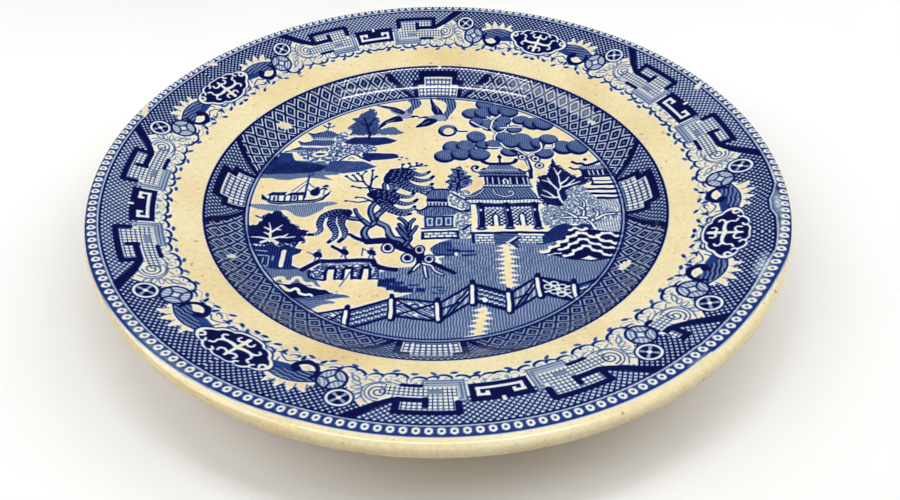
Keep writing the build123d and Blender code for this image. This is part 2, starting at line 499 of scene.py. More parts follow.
def draw_fence(sheet):
    """The zigzag fence across the front."""
    posts = [(-29.7, -60.5, -69), (-14.6, -55.3, -64), (1.3, -57, -64.8), (13.4, -48.8, -57.5),
             (25.7, -52.5, -60.8), (36.7, -45.5, -54.3), (49.0, -48.5, -56)]
    styles = ["dots", "cross", "lattice", "rows", "lattice", "scroll"]
    fence_panel(sheet, (-41.5, -62.4), (-29.7, -59.9), 9, 8.2, "cross")
    for left, right, style in zip(posts, posts[1:], styles):
        fence_panel(sheet, (left[0] + 1, left[1] + 0.2), (right[0] - 0.6, right[1] + 0.2), 8.1, 8.3, style)
    fence_panel(sheet, (50.2, -49.0), (60.0, -45.2), 7.5, 8.0, "dots")
    for x, top, bottom in posts:
        sheet.line([(x, top - 0.3), (x, bottom)], 3.0, NAVY, smooth=False)
        sheet.line([(x - 0.35, top - 0.4), (x - 0.35, bottom + 0.2)], 1.35, BARE, smooth=False)
        sheet.oval((x, top + 1.5), (0.95, 1.15), NAVY)
    sheet.oval((17.3, -55.9), (0.9, 1.1), BARE)


def draw_rocks(sheet):
    """The banks in front of the left house, and the terraced rock on the right bank."""
    sheet.fill([(-61, -39.5), (-56, -40.5), (-46, -40.8), (-42, -45.5), (-40, -49.5), (-46, -48.5),
                (-56, -47)],
               stripes(0.9, 0.42, 0.62))
    dark = [(-62, -45.5), (-57, -47), (-52, -48.3), (-48, -47.4), (-44, -49.5), (-39, -50.3),
            (-36.2, -51.6), (-36, -52.8), (-40, -53.4), (-43, -54.4), (-48, -54.8), (-54, -55.6)]
    sheet.fill(dark, 0.97, smooth=True)
    for path, width in (
        ([(-59, -45.6), (-57.3, -45.9), (-55.6, -44.9), (-54, -45.2), (-53.4, -46.4), (-51.5, -46.9),
          (-50.4, -46.2), (-49.8, -45), (-48, -45.1), (-47, -46.6), (-45.2, -47.7), (-43.4, -47.5),
          (-42.5, -48.8), (-40.5, -49.9), (-38, -50.2), (-36.3, -51.9)], (1.9, 1.0)),
        ([(-56.4, -49.1), (-54, -49.4), (-52.4, -50.4), (-50.6, -51.2), (-49.2, -50.2), (-48, -50.6),
          (-47, -52.2), (-45, -53.0), (-43.4, -52.8), (-42, -54)], (1.7, 0.9)),
    ):
        sheet.line(path, width, BARE)
    for points, tone in (
        ([(-50, -56), (-42, -53.5), (-37, -52.8), (-33, -53), (-29.6, -54.3), (-34, -55), (-40, -55.6)],
         0.62),
        ([(-50, -56.2), (-40, -55.4), (-34, -57), (-39, -58), (-42, -60), (-45, -60.6), (-48.5, -58.5)],
         0.52),
    ):
        sheet.fill(points, stripes(0.8, tone - 0.18, tone + 0.18, angle=80), smooth=True)
    sheet.fill([(38.4, -32.8), (41.5, -31.2), (44, -28.4), (48, -25.6), (50, -22.5), (53, -20), (60, -20),
                (72, -22), (72, -30), (66, -35.6), (57, -36.9), (49, -36.2), (45, -34.6)], NAVY)
    strata = [
        ([(51.5, -20.6), (53.5, -19.4), (55.6, -20.6), (57.6, -19.8)], 1.5),
        ([(61.4, -23.4), (63.6, -22.2), (66.2, -22.2), (68.4, -24.0), (71, -24.4)], 1.7),
        ([(39.6, -32.4), (41.8, -31.9), (43.4, -29.8), (45.8, -29.0), (46.6, -27.2), (49.0, -26.6),
          (50.2, -24.5), (52.4, -23.7), (54.2, -22.2), (56.6, -22.4), (58.6, -24.2), (60.8, -24.3),
          (62.4, -26.2), (65.0, -26.6), (67.0, -28.2), (70.5, -28.4)], 1.8),
        ([(46.4, -31.2), (49.0, -30.4), (50.4, -28.4), (52.6, -27.6), (54.2, -25.8), (56.6, -25.8),
          (58.2, -27.8), (60.8, -28.2), (62.6, -30.0), (65.2, -30.2), (67.8, -31.4)], 1.6),
        ([(41.8, -33.8), (44.6, -33.2), (46.4, -33.3)], 0.8),
        ([(47.8, -34.6), (50.2, -33.8), (51.6, -31.8), (53.6, -30.8), (55.2, -29.3), (57.0, -29.4),
          (58.6, -31.4), (60.8, -32.0), (62.4, -33.8), (64.8, -34.6)], 1.7),
    ]
    for path, width in strata:
        sheet.line(path, 0.62 * width, BARE)
        for x, y in smooth_path(path, False, 2)[::2]:
            sheet.oval((x, y + 0.12 * width), (0.62 * width, 0.42 * width), BARE)
    sheet.fill([(52.8, -35.9), (55, -35.2), (56.5, -34.2), (58.2, -35.2), (59.8, -35.8), (56.5, -36.4)],
               BARE)


def draw_island(sheet):
    """The far island: pavilion with three roofs, a feathery tree, low hills."""
    land = stripes(0.95, 0.74, 0.94, wave=0.3)
    sheet.fill([(-76, 25), (-52, 25.5), (-46, 24), (-42, 20), (-39, 15.3), (-46, 14.5), (-41.5, 11.5),
                (-46, 12), (-52.5, 13.5), (-57, 13), (-60, 12), (-64, 12), (-67, 13), (-76, 13)],
               stripes(0.95, 0.40, 0.64, wave=0.3))
    sheet.fill([(-76, 30), (-66, 28), (-60, 25), (-52, 24), (-44, 21), (-48, 17.5), (-56, 16.5),
                (-76, 15.5)], land)
    sheet.fill([(-44, 25), (-30, 24.5), (-24, 20.5), (-30, 17.5), (-38, 16), (-46, 18)],
               stripes(0.95, 0.56, 0.84, wave=0.3))
    sheet.fill([(-39.7, 25.5), (-37, 28.4), (-35.2, 29.4), (-32.8, 28.6), (-30.2, 26.5), (-27.6, 24.7),
                (-34, 24.6)], BARE)
    sheet.line([(-40, 25.2), (-37, 28.4), (-35.2, 29.4), (-32.8, 28.6), (-30.2, 26.5), (-27.2, 24.7)], 0.9,
               NAVY)
    sheet.line([(-36.5, 25.5), (-35.5, 27.2), (-34.2, 26.2)], 0.5, BLUE)
    sheet.fill([(-36, 36), (-25, 36), (-19, 37.5), (-16, 39.6), (-21, 42.3), (-35, 42.3), (-40, 39)], land)
    sheet.fill([(-30, 30.5), (-20, 30), (-15.8, 29.2), (-14.8, 27.5), (-16, 26.2), (-26, 25.2), (-30, 27)],
               stripes(0.9, 0.72, 1.0, angle=90, wave=0.3), smooth=True)
    sheet.line([(-37, 44.9), (-33, 44.7), (-30, 43.6)], 0.8, BARE)
    leafy(sheet, [(-29.2, 65), (-31.5, 62.5), (-33.9, 60), (-34, 58.1), (-37, 57.3), (-35.4, 55),
                  (-36.4, 53), (-38.3, 50.7), (-36, 48), (-36.5, 45), (-25, 45), (-24.6, 50), (-25.2, 53.5),
                  (-24.8, 56), (-26.4, 59), (-26.8, 62)], stripes(0.8, 0.52, 0.90, angle=-8, wave=0.3))
    leafy(sheet, [(-24.5, 47.5), (-21, 49.5), (-18.5, 50.3), (-16.5, 49.2), (-15.5, 47.4), (-13.6, 46),
                  (-16, 44.6), (-24, 44.6)], stripes(0.8, 0.40, 0.78, angle=20))
    for tip in ((-33, 54), (-31.5, 58), (-27, 57), (-27.5, 53)):
        sheet.line([(-29.3, 46), (-29.6, 50), tip], 0.7, NAVY)
    sheet.line([(-28.4, 46), (-28.7, 41)], 1.1, NAVY)
    foliage = stipple(1.35, 0.08, 0.74, seed=0.6, share=0.34)
    sheet.fill([(-59, 33), (-57, 28), (-52, 24.6), (-44, 24.4), (-39.5, 27), (-36.4, 31), (-37.5, 34),
                (-40.5, 37), (-37.8, 41), (-38.6, 45.5), (-41, 47), (-43.5, 44), (-43, 38), (-48, 35)],
               foliage, smooth=True)
    sheet.fill([(-39, 36.5), (-27, 36.2), (-24.5, 32), (-30, 30.4), (-38, 29)], foliage, smooth=True)
    sheet.fill([(-66.4, 31), (-61.4, 31), (-59.5, 26), (-58, 24), (-67, 24)],
               stripes(0.95, 0.66, 0.92, angle=90))
    sheet.oval((-49, 30), (3.4, 2.1), BARE)
    sheet.oval((-49, 30.1), (2.2, 0.8), DARK)
    roof = stripes(1.0, 0.45, 0.88)
    for points in (
        [(-55.9, 45.6), (-53, 45), (-50.5, 46.2), (-48.5, 47.8), (-46.2, 47.8), (-44, 46.3), (-41.8, 44.4),
         (-43.8, 43), (-44.2, 41), (-53, 41), (-54.4, 43)],
        [(-59.6, 39.3), (-57, 38.2), (-55, 38.8), (-53.2, 40.6), (-44.4, 40.6), (-42.8, 39.3),
         (-44.8, 36.2), (-58.6, 36.2)],
        [(-64.2, 31.6), (-60.2, 33.9), (-58.6, 35.0), (-46.6, 34.8), (-49, 33.6), (-53.4, 31.8)],
    ):
        sheet.fill(points, roof)
        sheet.line(points[:3], 0.8, NAVY)
    for left, right, level in ((-54.6, -43.6, 40.9), (-58.5, -44.4, 35.6), (-52.5, -44.5, 42.0),
                               (-63, -56, 32.4)):
        sheet.line([(left, level), (right, level)], 0.5, 0.1, smooth=False)
    sheet.line([(-49.9, 51.6), (-48.6, 50.6), (-47.6, 50.2), (-46.4, 50.6), (-45.1, 51.5)], 0.9, BLUE)
    sheet.line([(-47.6, 48), (-47.6, 52.6)], 0.6, BLUE, smooth=False)
    sheet.oval((-47.6, 53.2), (1.0, 0.9), BLUE)
    for x, y in ((-13.5, 26.8), (-11.3, 26.1), (-14.6, 25.2)):
        sheet.oval((x, y), (0.75, 0.5), BLUE)


def draw_boat(sheet):
    """A roofed boat, its mast and rower, and the shade under it."""
    sheet.fill([(-74, -3.7), (-66, -3.5), (-60, -4.5), (-50, -3.5), (-42, -2.2), (-38, -3.5), (-43, -5.5),
                (-44.5, -7.5), (-50, -11.5), (-54, -11), (-58.5, -7.6), (-64, -7.8), (-74, -5)],
               stripes(0.8, 0.26, 0.66), smooth=True)
    sheet.fill([(-66.5, 2), (-51.5, 2.2), (-51, -2), (-66, -2)], BARE)
    sheet.fill([(-70, 2.8), (-69.4, -0.3), (-65.5, -3), (-61.8, -4), (-55, -3.6), (-47.6, -2.9),
                (-44.2, -1.2), (-42.2, 2.2), (-41.8, 4.7), (-44.5, 1), (-47, -0.6), (-52, -1.5),
                (-60, -1.7), (-66, -1.1)], NAVY)
    sheet.line([(-68.5, -0.9), (-62, -2.9), (-54, -2.6), (-47.4, -1.9), (-44.2, 0.6)], 0.4, 0.2)
    for roof in ([(-67.8, 2), (-65.5, 4.1), (-59.3, 4.1), (-60.6, 1.8)],
                 [(-60, 1.9), (-57.6, 3.7), (-52.4, 3.7), (-51.4, 1.5)]):
        sheet.fill(roof, stripes(0.9, 0.75, 1.0, angle=80))
    for x in (-66.2, -62.8, -60, -57.5, -54.8, -52.2):
        sheet.line([(x, 2), (x, -1.6)], 0.75, DARK, smooth=False)
    for x in (-64.4, -56.1):
        sheet.line([(x, 0.9), (x, -0.6)], 1.1, BLUE, smooth=False)
    sheet.line([(-52, 14), (-51.8, 0)], 0.8, DARK)
    sheet.ring((-51.2, 16), 1.1, 0.7, BLUE)
    for path in ([(-52, 9.5), (-55.5, 4)], [(-51.5, 9.5), (-47.6, 5)], [(-52, 12), (-57.5, 4.5)],
                 [(-52, 6), (-50, 4)]):
        sheet.line(path, 0.5, BLUE, smooth=False)
    sheet.oval((-48, 3.4), (2.0, 2.3), NAVY)
    sheet.oval((-47.4, 6.2), (0.8, 0.8), NAVY)
    sheet.line([(-47.5, 4.2), (-45, 6.2), (-43.6, 5.4)], 0.9, NAVY)
    sheet.line([(-44.6, 8.3), (-44.4, 2)], 0.5, BLUE)
    sheet.fill([(-46, 7.2), (-43.6, 8.6), (-42.8, 6.8)], DARK)


def draw_left_bank(sheet):
    """The dark tree and the small house on the left bank."""
    sheet.fill([(-70, -26), (-50.5, -25.5), (-52, -29), (-49, -30.2), (-49.6, -32), (-52, -33.4),
                (-51.6, -38.5), (-48, -40.6), (-58, -42), (-63, -38)], stripes(1.0, 0.72, 0.98))
    sheet.fill([(-63, -39.5), (-56, -40.8), (-46, -40.8), (-42, -45.5), (-46, -46), (-58, -45)],
               stripes(0.9, 0.4, 0.62))
    sheet.line([(-55.5, -31), (-55.5, -38.6)], 1.7, BARE, smooth=False)
    sheet.line([(-58, -28), (-56.6, -26.6), (-54.4, -26.6), (-53.2, -28.2)], 1.0, PALE)
    for path in ([(-66.5, -33.2), (-61, -33.4), (-60.6, -36), (-60.8, -38.8), (-63.5, -37.5)],
                 [(-66, -30.6), (-62, -31)], [(-62.6, -34.6), (-62.8, -38)], [(-59, -33.6), (-59, -35.4)]):
        sheet.line(path, 0.6, PALE)
    crown = [(-65.2, -10.3), (-62.8, -9), (-60.7, -8.9), (-58.8, -11.4), (-56.6, -13), (-55.4, -15.5),
             (-53, -16.6), (-51.6, -18.9), (-49.4, -19), (-48.4, -20.8), (-50.2, -22.9), (-49.4, -24.4),
             (-52, -26), (-70, -27), (-74, -22), (-71.3, -19.8), (-71.5, -17), (-68.6, -16), (-66.6, -14),
             (-66.4, -11.6)]
    leafy(sheet, crown, stripes(1.1, 0.86, 1.0, angle=15), NAVY)
    for path in ([(-62, -25.5), (-62.4, -21), (-62.8, -18), (-63.6, -15)],
                 [(-62.4, -20.6), (-60.6, -19), (-58.4, -16.6)],
                 [(-61.8, -24.4), (-58, -23), (-56, -23.4), (-52.6, -23)],
                 [(-62.2, -24.6), (-66, -23.4), (-70.4, -23.2)], [(-63, -19), (-65.4, -17.4)],
                 [(-60.4, -18.8), (-58.4, -19.2)], [(-62.3, -22), (-65, -20.6)],
                 [(-57.6, -23.2), (-55.6, -21.4)]):
        sheet.line(path, (1.1, 0.5), 0.04)
    sheet.line([(-65, -26.2), (-62, -24.8), (-59, -26.4)], 1.5, 0.1)
    sheet.line([(-67, -12), (-69.5, -10.5)], 0.8, BLUE)


def draw_bridge(sheet):
    """The three-arched bridge with three small walkers."""
    pier = stipple(1.0, 0.0, 0.8, seed=2.0)
    sheet.fill([(-45, -41.5), (-41, -37.6), (-22.5, -37.2), (-19.6, -40.5), (-20, -45.6), (-24, -45.6),
                (-44, -44.6)], pier)
    sheet.line([(-45, -41.2), (-44.2, -44.6), (-39.5, -45.8), (-38.8, -45)], 0.9, NAVY)
    for left, right in ((-38.3, -35.7), (-32.0, -29.7), (-25.6, -23.4)):
        sheet.fill([(left - 1.2, -46), (left - 1, -40.6), (left, -39.2), (right, -39.2),
                    (right + 0.9, -40.6), (right + 0.9, -46)], NAVY)
        sheet.fill([(left, -46.4), (left + 0.2, -40.6), (right - 0.2, -40.6), (right, -46.4)], BARE)
    for left, right in ((-35.0, -33.1), (-28.9, -26.8), (-22.4, -20.2)):
        sheet.line([(left, -45.5), (right, -45.5)], 0.7, NAVY, smooth=False)
    sheet.line([(-47.4, -40.8), (-44.5, -38.6), (-42.4, -36.8), (-40, -36.4), (-24, -36.2), (-21.6, -38.2),
                (-19.4, -39.8), (-14, -40.9)], 2.0, NAVY)
    sheet.line([(-38.8, -38.0), (-24.5, -37.9)], 0.4, 0.12, smooth=False)
    sheet.line([(-30, -42), (-31.4, -45.5), (-33.4, -49.4)], 0.5, BLUE)
    for x, y, lean in ((-43, -33.2, 1.2), (-33.4, -31.4, 0.6), (-23.2, -32.2, 0.8)):
        sheet.fill([(x - 1.6, y + 0.6), (x - 0.2, y + 1.7), (x + 1.3, y + 0.9), (x + 1.8, y - 1.2),
                    (x + lean, y - 1.4), (x - 0.8, y - 0.9)], NAVY, smooth=True)
        sheet.oval((x + 0.2, y + 2.2), (0.75, 0.8), BLUE)
        sheet.oval((x + 0.2, y + 2.2), (0.35, 0.4), PALE)
        sheet.line([(x + 0.8, y - 1.0), (x + lean, y - 2.6), (x + lean + 0.7, y - 3.6)], 0.6, BLUE)
        sheet.line([(x - 0.2, y - 1.0), (x - 0.8, y - 2.8)], 0.5, BLUE)
    sheet.line([(-38, -28.6), (-35.4, -30.4), (-32.6, -32.6)], 1.4, NAVY)
    sheet.line([(-47, -31.6), (-45, -32.8), (-43.6, -34.4)], 0.5, BLUE)
    sheet.line([(-26.4, -29.6), (-26.6, -33.8)], 0.55, BLUE)
    sheet.line([(-26.4, -29.8), (-24, -31.6)], 0.5, BLUE)


BALLS = [
    (18.5, 60.5, 5, 4.5), (24, 68, 4, 4.5), (23, 60.5, 3.8, 4.5), (29.5, 62.5, 4, 4.5), (34.5, 62, 4.5, 5),
    (32, 54.5, 3.5, 3.5), (40, 54.5, 3.8, 3.5), (45, 51.5, 4.5, 4.5), (49.5, 51, 4.5, 4.5),
    (29.5, 49.8, 3.5, 4), (36, 47.5, 3.5, 3), (20, 53, 3.5, 4), (25, 51, 3.5, 4.5), (6.5, 47, 4, 4.5),
    (19, 41.5, 4, 4.5), (8.5, 34, 4.5, 4.5), (14, 34.5, 4, 4.5), (22, 35.5, 3.5, 3), (5, 27.5, 4.5, 4.5),
    (11.5, 28.5, 4, 4), (19.5, 28.5, 4.5, 4.5), (31.5, 41, 4, 4), (38.5, 38.5, 5, 5.5), (33.5, 37, 4, 4),
    (41, 34.5, 4, 4), (45.5, 36.5, 3, 4), (50.5, 39.5, 4, 3.8), (47.5, 29, 4, 4), (56, 33, 4.5, 5),
    (62, 33, 4.5, 5), (26.5, 36, 3.5, 3.5), (33, 30, 4, 3.2),
]


def draw_great_tree(sheet):
    """The tree with round fruit behind the pagoda."""
    for x, y, wide, high in BALLS:
        sheet.oval((x, y), (wide + 0.25, high + 0.25), rounded_shade((x, y), (wide, high), 0.46, NAVY))
    sheet.oval((6.9, 46.4), (2.3, 2.6), BARE)
    sheet.line([(9.5, 49.5), (11, 46.5), (15, 46)], 0.9, NAVY)
    limbs = [
        [(24.5, 58), (27, 55.5), (29, 57), (31, 59.5)],
        [(27.5, 55), (26.5, 52), (25.8, 49), (26.8, 46.5), (28.5, 45.3), (31, 46), (33, 49), (34, 51)],
        [(28.5, 45.3), (27.2, 42.5), (27, 39.5)], [(30, 48.8), (34, 49.2), (40, 49)],
        [(17.5, 54), (20, 51), (24, 48)], [(24, 34), (28, 33.6), (30.5, 33.8), (32, 32.5), (36, 31.8),
                                           (39, 29), (41, 26)],
        [(29.5, 37), (31, 34), (33, 32.5)], [(46.5, 37), (47, 34), (45.5, 31), (43, 29.5), (40.5, 27)],
        [(52.5, 36), (51.5, 33), (48, 32.5)],
    ]
    for path in limbs:
        edged(sheet, path, 0.9, 0.28)


def draw_pagoda(sheet):
    """The two-storeyed pagoda on its stone base."""
    sheet.fill([(16, 24), (41.5, 24), (41.8, -22), (14.5, -22), (14.5, -4), (11, 0), (11, 5), (16, 8)],
               BARE)
    roof = stripes(1.05, 0.30, 0.80, angle=35)
    sheet.fill([(24, 21.5), (32, 21.5), (35.4, 18), (38.7, 15.2), (38.3, 13), (19.5, 13), (18.5, 15.5),
                (21.5, 18)], roof)
    sheet.line([(21, 17.4), (36, 17.4)], 0.5, 0.2, smooth=False)
    sheet.line([(20, 15.2), (38, 15.2)], 0.9, 0.88, smooth=False)
    sheet.line([(20.5, 24.6), (21.4, 23), (23.6, 21.9), (28, 21.6), (32.2, 22), (34, 23), (35, 24.6)], 1.8,
               NAVY)
    sheet.fill([(28, 28.4), (29.1, 26.5), (28, 24.4), (26.9, 26.5)], NAVY)
    sheet.line([(28, 25), (28, 22)], 0.8, NAVY, smooth=False)
    sheet.line([(21.3, 18.4), (19.2, 16.4), (17.2, 17), (16.4, 18.8), (17.3, 20.4), (18.6, 19.8),
                (18.2, 18.8)], 1.35, NAVY)
    sheet.line([(20.8, 17.4), (18.8, 16.6), (17.4, 17.4), (16.9, 18.9), (17.6, 19.9)], 0.6, 0.05)
    sheet.line([(35.4, 18.2), (37.6, 16.4), (39.6, 16.8), (39.8, 18.4)], 0.9, NAVY)
    sheet.line([(19, 13.2), (38.6, 13.2)], 0.9, NAVY, smooth=False)
    sheet.box(20.8, 7.9, 39.5, 12.8, 0.97)
    for x in (22, 24.2, 26.7, 31.6, 34.2, 37, 38.8):
        sheet.line([(x, 12.3), (x, 8.2)], 0.55, 0.05, smooth=False)
    sheet.fill([(28.2, 8), (28.2, 10.6), (29.5, 12), (30.8, 10.6), (30.8, 8)], 0.03)
    sheet.line([(29.5, 8), (29.5, 10.6)], 0.8, NAVY, smooth=False)
    sheet.box(20.4, 5.3, 39.8, 8.0, 0.06)
    sheet.line([(20.2, 7.7), (39.9, 7.7)], 0.5, BLUE, smooth=False)
    sheet.line([(20.2, 6.0), (39.9, 6.0)], 0.9, NAVY, smooth=False)
    for k in range(15):
        sheet.line([(21 + 1.3 * k, 7.6), (21 + 1.3 * k, 6)], 0.35, BLUE, smooth=False)
    sheet.fill([(20, 5.4), (39.2, 5.4), (40.8, 1.2), (41.4, -1.5), (12, -1.5), (15, 1.5), (18, 4)],
               stripes(1.15, 0.34, 0.86, angle=25))
    for path, dark, light in (
        ([(20.2, 5), (18.5, 2.2), (16, 0.4), (13.4, 0.2), (11.6, 1.6), (11.8, 3.2), (13.4, 3.5),
          (14.2, 2.2)], 1.2, 0.5),
        ([(23.8, 4.6), (25.3, 1.4), (28.4, 0.2), (31.4, 1.2), (31.8, 3), (30.5, 3.6), (30, 2.4)], 1.2, 0.6),
    ):
        sheet.line(path, dark, NAVY)
        sheet.line(path, light, 0.04)
    sheet.line([(12, -1.7), (41.6, -1.7)], 0.8, NAVY, smooth=False)
    sheet.box(14.5, -4.3, 41.6, -2.1, 0.05)
    for k in range(20):
        sheet.line([(15.5 + 1.35 * k, -2.4), (15.5 + 1.35 * k, -3.9)], 0.4, 0.5, smooth=False)
    sheet.line([(15, -4.5), (41.8, -4.5)], 0.8, NAVY, smooth=False)
    sheet.box(16.6, -7.6, 41.2, -4.9, 0.90)
    for k in range(17):
        sheet.oval((17.8 + 1.42 * k, -7.3), (0.62, 1.0), 0.04)
    for left, right in ((20, 27.6), (30.4, 37.9)):
        sheet.box(left, -17.6, right, -7.4, checks(0.98, 0.05, NAVY))
        middle = (left + right) / 2
        sheet.fill([(middle - 1.5, -17.6), (middle - 1.5, -11.6), (middle, -9.8), (middle + 1.5, -11.6),
                    (middle + 1.5, -17.6)], NAVY)
        sheet.fill([(middle - 0.85, -17.6), (middle - 0.85, -11.8), (middle, -10.6), (middle + 0.85, -11.8),
                    (middle + 0.85, -17.6)], 0.03)
    for x in (18.3, 28.9, 39.6):
        sheet.line([(x, -5), (x, -17.5)], 2.9, NAVY, smooth=False)
        sheet.line([(x - 0.9, -6), (x - 0.9, -17)], 0.35, 0.3, smooth=False)
        sheet.oval((x, -8.3), (0.55, 0.7), 0.04)
        sheet.oval((x, -19), (2.0, 0.9), NAVY)
        sheet.oval((x, -18.8), (0.9, 0.3), 0.2)
    sheet.line([(14.4, -21.6), (42.8, -21.6)], 1.3, NAVY, smooth=False)
    sheet.box(14.3, -27.2, 40.5, -22.2, 0.06)
    sheet.box(14.2, -27.2, 15.4, -22.2, NAVY)
    for row, level in enumerate((-23.4, -24.9, -26.4)):
        sheet.line([(15.4, level), (22.5, level)], 0.4, BLUE, smooth=False)
        sheet.line([(31.5, level), (40.5, level)], 0.4, BLUE, smooth=False)
        for k in range(11):
            x = 16.4 + 2.2 * k + 1.1 * (row % 2)
            sheet.line([(x, level), (x, level - 1.5)], 0.4, BLUE, smooth=False)
    sheet.box(22.6, -28, 31.6, -22.2, stripes(0.9, 0.45, 0.85, angle=90))
    for shift in (0, 1.6):
        sheet.line([(31 + shift, -24.2), (27.4 + shift, -27.2), (29.6 + shift, -29.8)], 0.7,
                   NAVY if shift else 0.05, smooth=False)


def draw_trunk(sheet):
    """The great tree's trunk, which comes down past the pagoda's roof, and its curls."""
    sheet.line([(34.5, 31), (37, 28.6), (39, 25.6), (40, 21), (40.4, 17), (40.2, 12)], (2.2, 1.6), NAVY)
    sheet.line([(36.5, 29.4), (38.6, 26.6), (39.6, 22), (39.8, 18)], 0.7, 0.15)
    for x, y, wide, high in ((37.8, 26.4, 1.0, 1.2), (43.4, 25.2, 1.1, 1.5), (44.3, 20.4, 1.0, 1.3)):
        sheet.oval((x, y), (wide + 1.0, high + 1.0), NAVY)
        sheet.oval((x, y), (wide + 0.45, high + 0.45), 0.06)
        sheet.oval((x, y), (wide * 0.7, high * 0.7), NAVY)


def draw_small_pavilion(sheet):
    """The narrow pavilion left of the cypress."""
    sheet.fill([(-4, 2), (6, 2), (7, -20), (-4, -20)], BARE)
    ribs = stripes(0.9, 0.34, 0.86)
    sheet.oval((4.2, 3.8), (1.6, 1.5), BLUE)
    sheet.fill([(-5, 2.2), (-2.4, 2.2), (-0.5, 4.3), (3, 5), (6.2, 4.5), (7.2, 3.0), (5.4, -1), (-2.5, -1),
                (-3.2, 0.6)], ribs)
    sheet.line([(-5.2, 2.4), (-3, 2.0), (-0.6, 4.4), (3, 5.1), (6.4, 4.6)], 0.8, NAVY)
    sheet.box(-3.0, -3.2, 5.6, -1.0, 0.97)
    sheet.box(-3.0, -6.0, 5.6, -3.2, stripes(1.3, 0.15, 0.85))
    sheet.line([(-3, -3.2), (5.6, -3.2)], 0.45, 0.1, smooth=False)
    sheet.fill([(-7.7, -7.0), (-5.5, -8.3), (-3.5, -7), (-2, -5.8), (5, -5.8), (8, -7.6), (10.2, -9.3),
                (8, -11), (-4, -11.5), (-6.5, -10)], ribs)
    sheet.line([(-8, -7), (-5.6, -8.4), (-3.4, -7), (-2, -5.8), (5, -5.8), (8, -7.4), (10.4, -9.2)], 0.85,
               NAVY)
    sheet.box(-3.6, -18.2, 7.6, -11.4, 0.82)
    for left in (-2.6, 0.9, 4.5):
        sheet.box(left, -17.2, left + 2.4, -12.6, 0.08)
        sheet.box(left + 0.55, -16.6, left + 1.85, -13.2, 0.7)
    sheet.line([(-4.6, -18.8), (8.2, -18.8)], 0.7, NAVY, smooth=False)
    sheet.line([(-4.8, -19.8), (8.6, -19.8)], 0.5, 0.05, smooth=False)
    sheet.box(-5, -25, 9.6, -20.3, 0.97)
    sheet.box(-3.8, -23.9, 8.6, -21.2, 0.05)
    sheet.line([(-3.8, -22.5), (8.6, -22.5)], 0.4, BLUE, smooth=False)
    for k in range(9):
        sheet.line([(-3 + 1.4 * k, -21.2 - 1.3 * (k % 2)), (-3 + 1.4 * k, -22.5 - 1.3 * (k % 2))], 0.4,
                   BLUE, smooth=False)


def draw_cypress(sheet):
    """The layered evergreen between pavilion and pagoda."""
    leaves = stipple(1.1, 0.36, 0.92, seed=1.1, share=0.36)
    leafy(sheet, [(11, 20.3), (12, 18), (13.8, 15.5), (13, 14.3), (15.5, 13.5), (14.5, 12), (15.7, 10),
                  (14.5, 8), (15.4, 6), (12, 4.5), (10, 3), (8, 4.5), (5.8, 6), (6.5, 8), (5.3, 10),
                  (6.8, 12), (5.6, 13.5), (8, 15), (7.3, 18), (9.5, 18.3)], leaves)
    pale = stipple(1.15, 0.03, 0.60, seed=0.2, share=0.34)
    sheet.fill([(15, 10), (20, 7.5), (20, 4), (15, 3), (12, 2)], pale, smooth=True)
    sheet.fill([(6, 0), (10, 1.5), (14, 1), (16, -4), (14.5, -9), (9, -6.5), (6.2, -5)], pale, smooth=True)
    sheet.fill([(9, -11), (14, -9.5), (15.8, -14), (14.5, -22), (10.5, -24), (8.4, -18)], pale, smooth=True)
    for path in ([(10.2, 18), (10.4, 10), (9.4, 4)],
                 [(7, 3), (10, 0), (13, -2), (14.5, -5), (14, -8), (10, -9)],
                 [(10, -9), (15, -9.5), (15.5, -13), (16.2, -15), (13, -18), (11, -20)],
                 [(10.4, 11), (13.4, 12)], [(10.4, 9), (7.6, 10)]):
        sheet.line(path, 0.8, NAVY)


def frond(sheet, path, width):
    """A drooping willow frond: dark, with a fine pale comb of leaves along its middle."""
    sheet.line(path, (width + 1.0, 1.5), NAVY)
    curve = smooth_path(path, False, 5)
    for k in range(1, len(curve) - 3, 2):
        way = math.atan2(curve[k + 1][1] - curve[k - 1][1], curve[k + 1][0] - curve[k - 1][0])
        share = 1 - k / len(curve)
        for side in (-1, 1):
            off = side * (0.14 + 0.23 * width * share)
            spot = (curve[k][0] - off * math.sin(way), curve[k][1] + off * math.cos(way))
            sheet.oval(spot, (0.60, 0.17), 0.05, turn=math.degrees(way) + 50 * side)


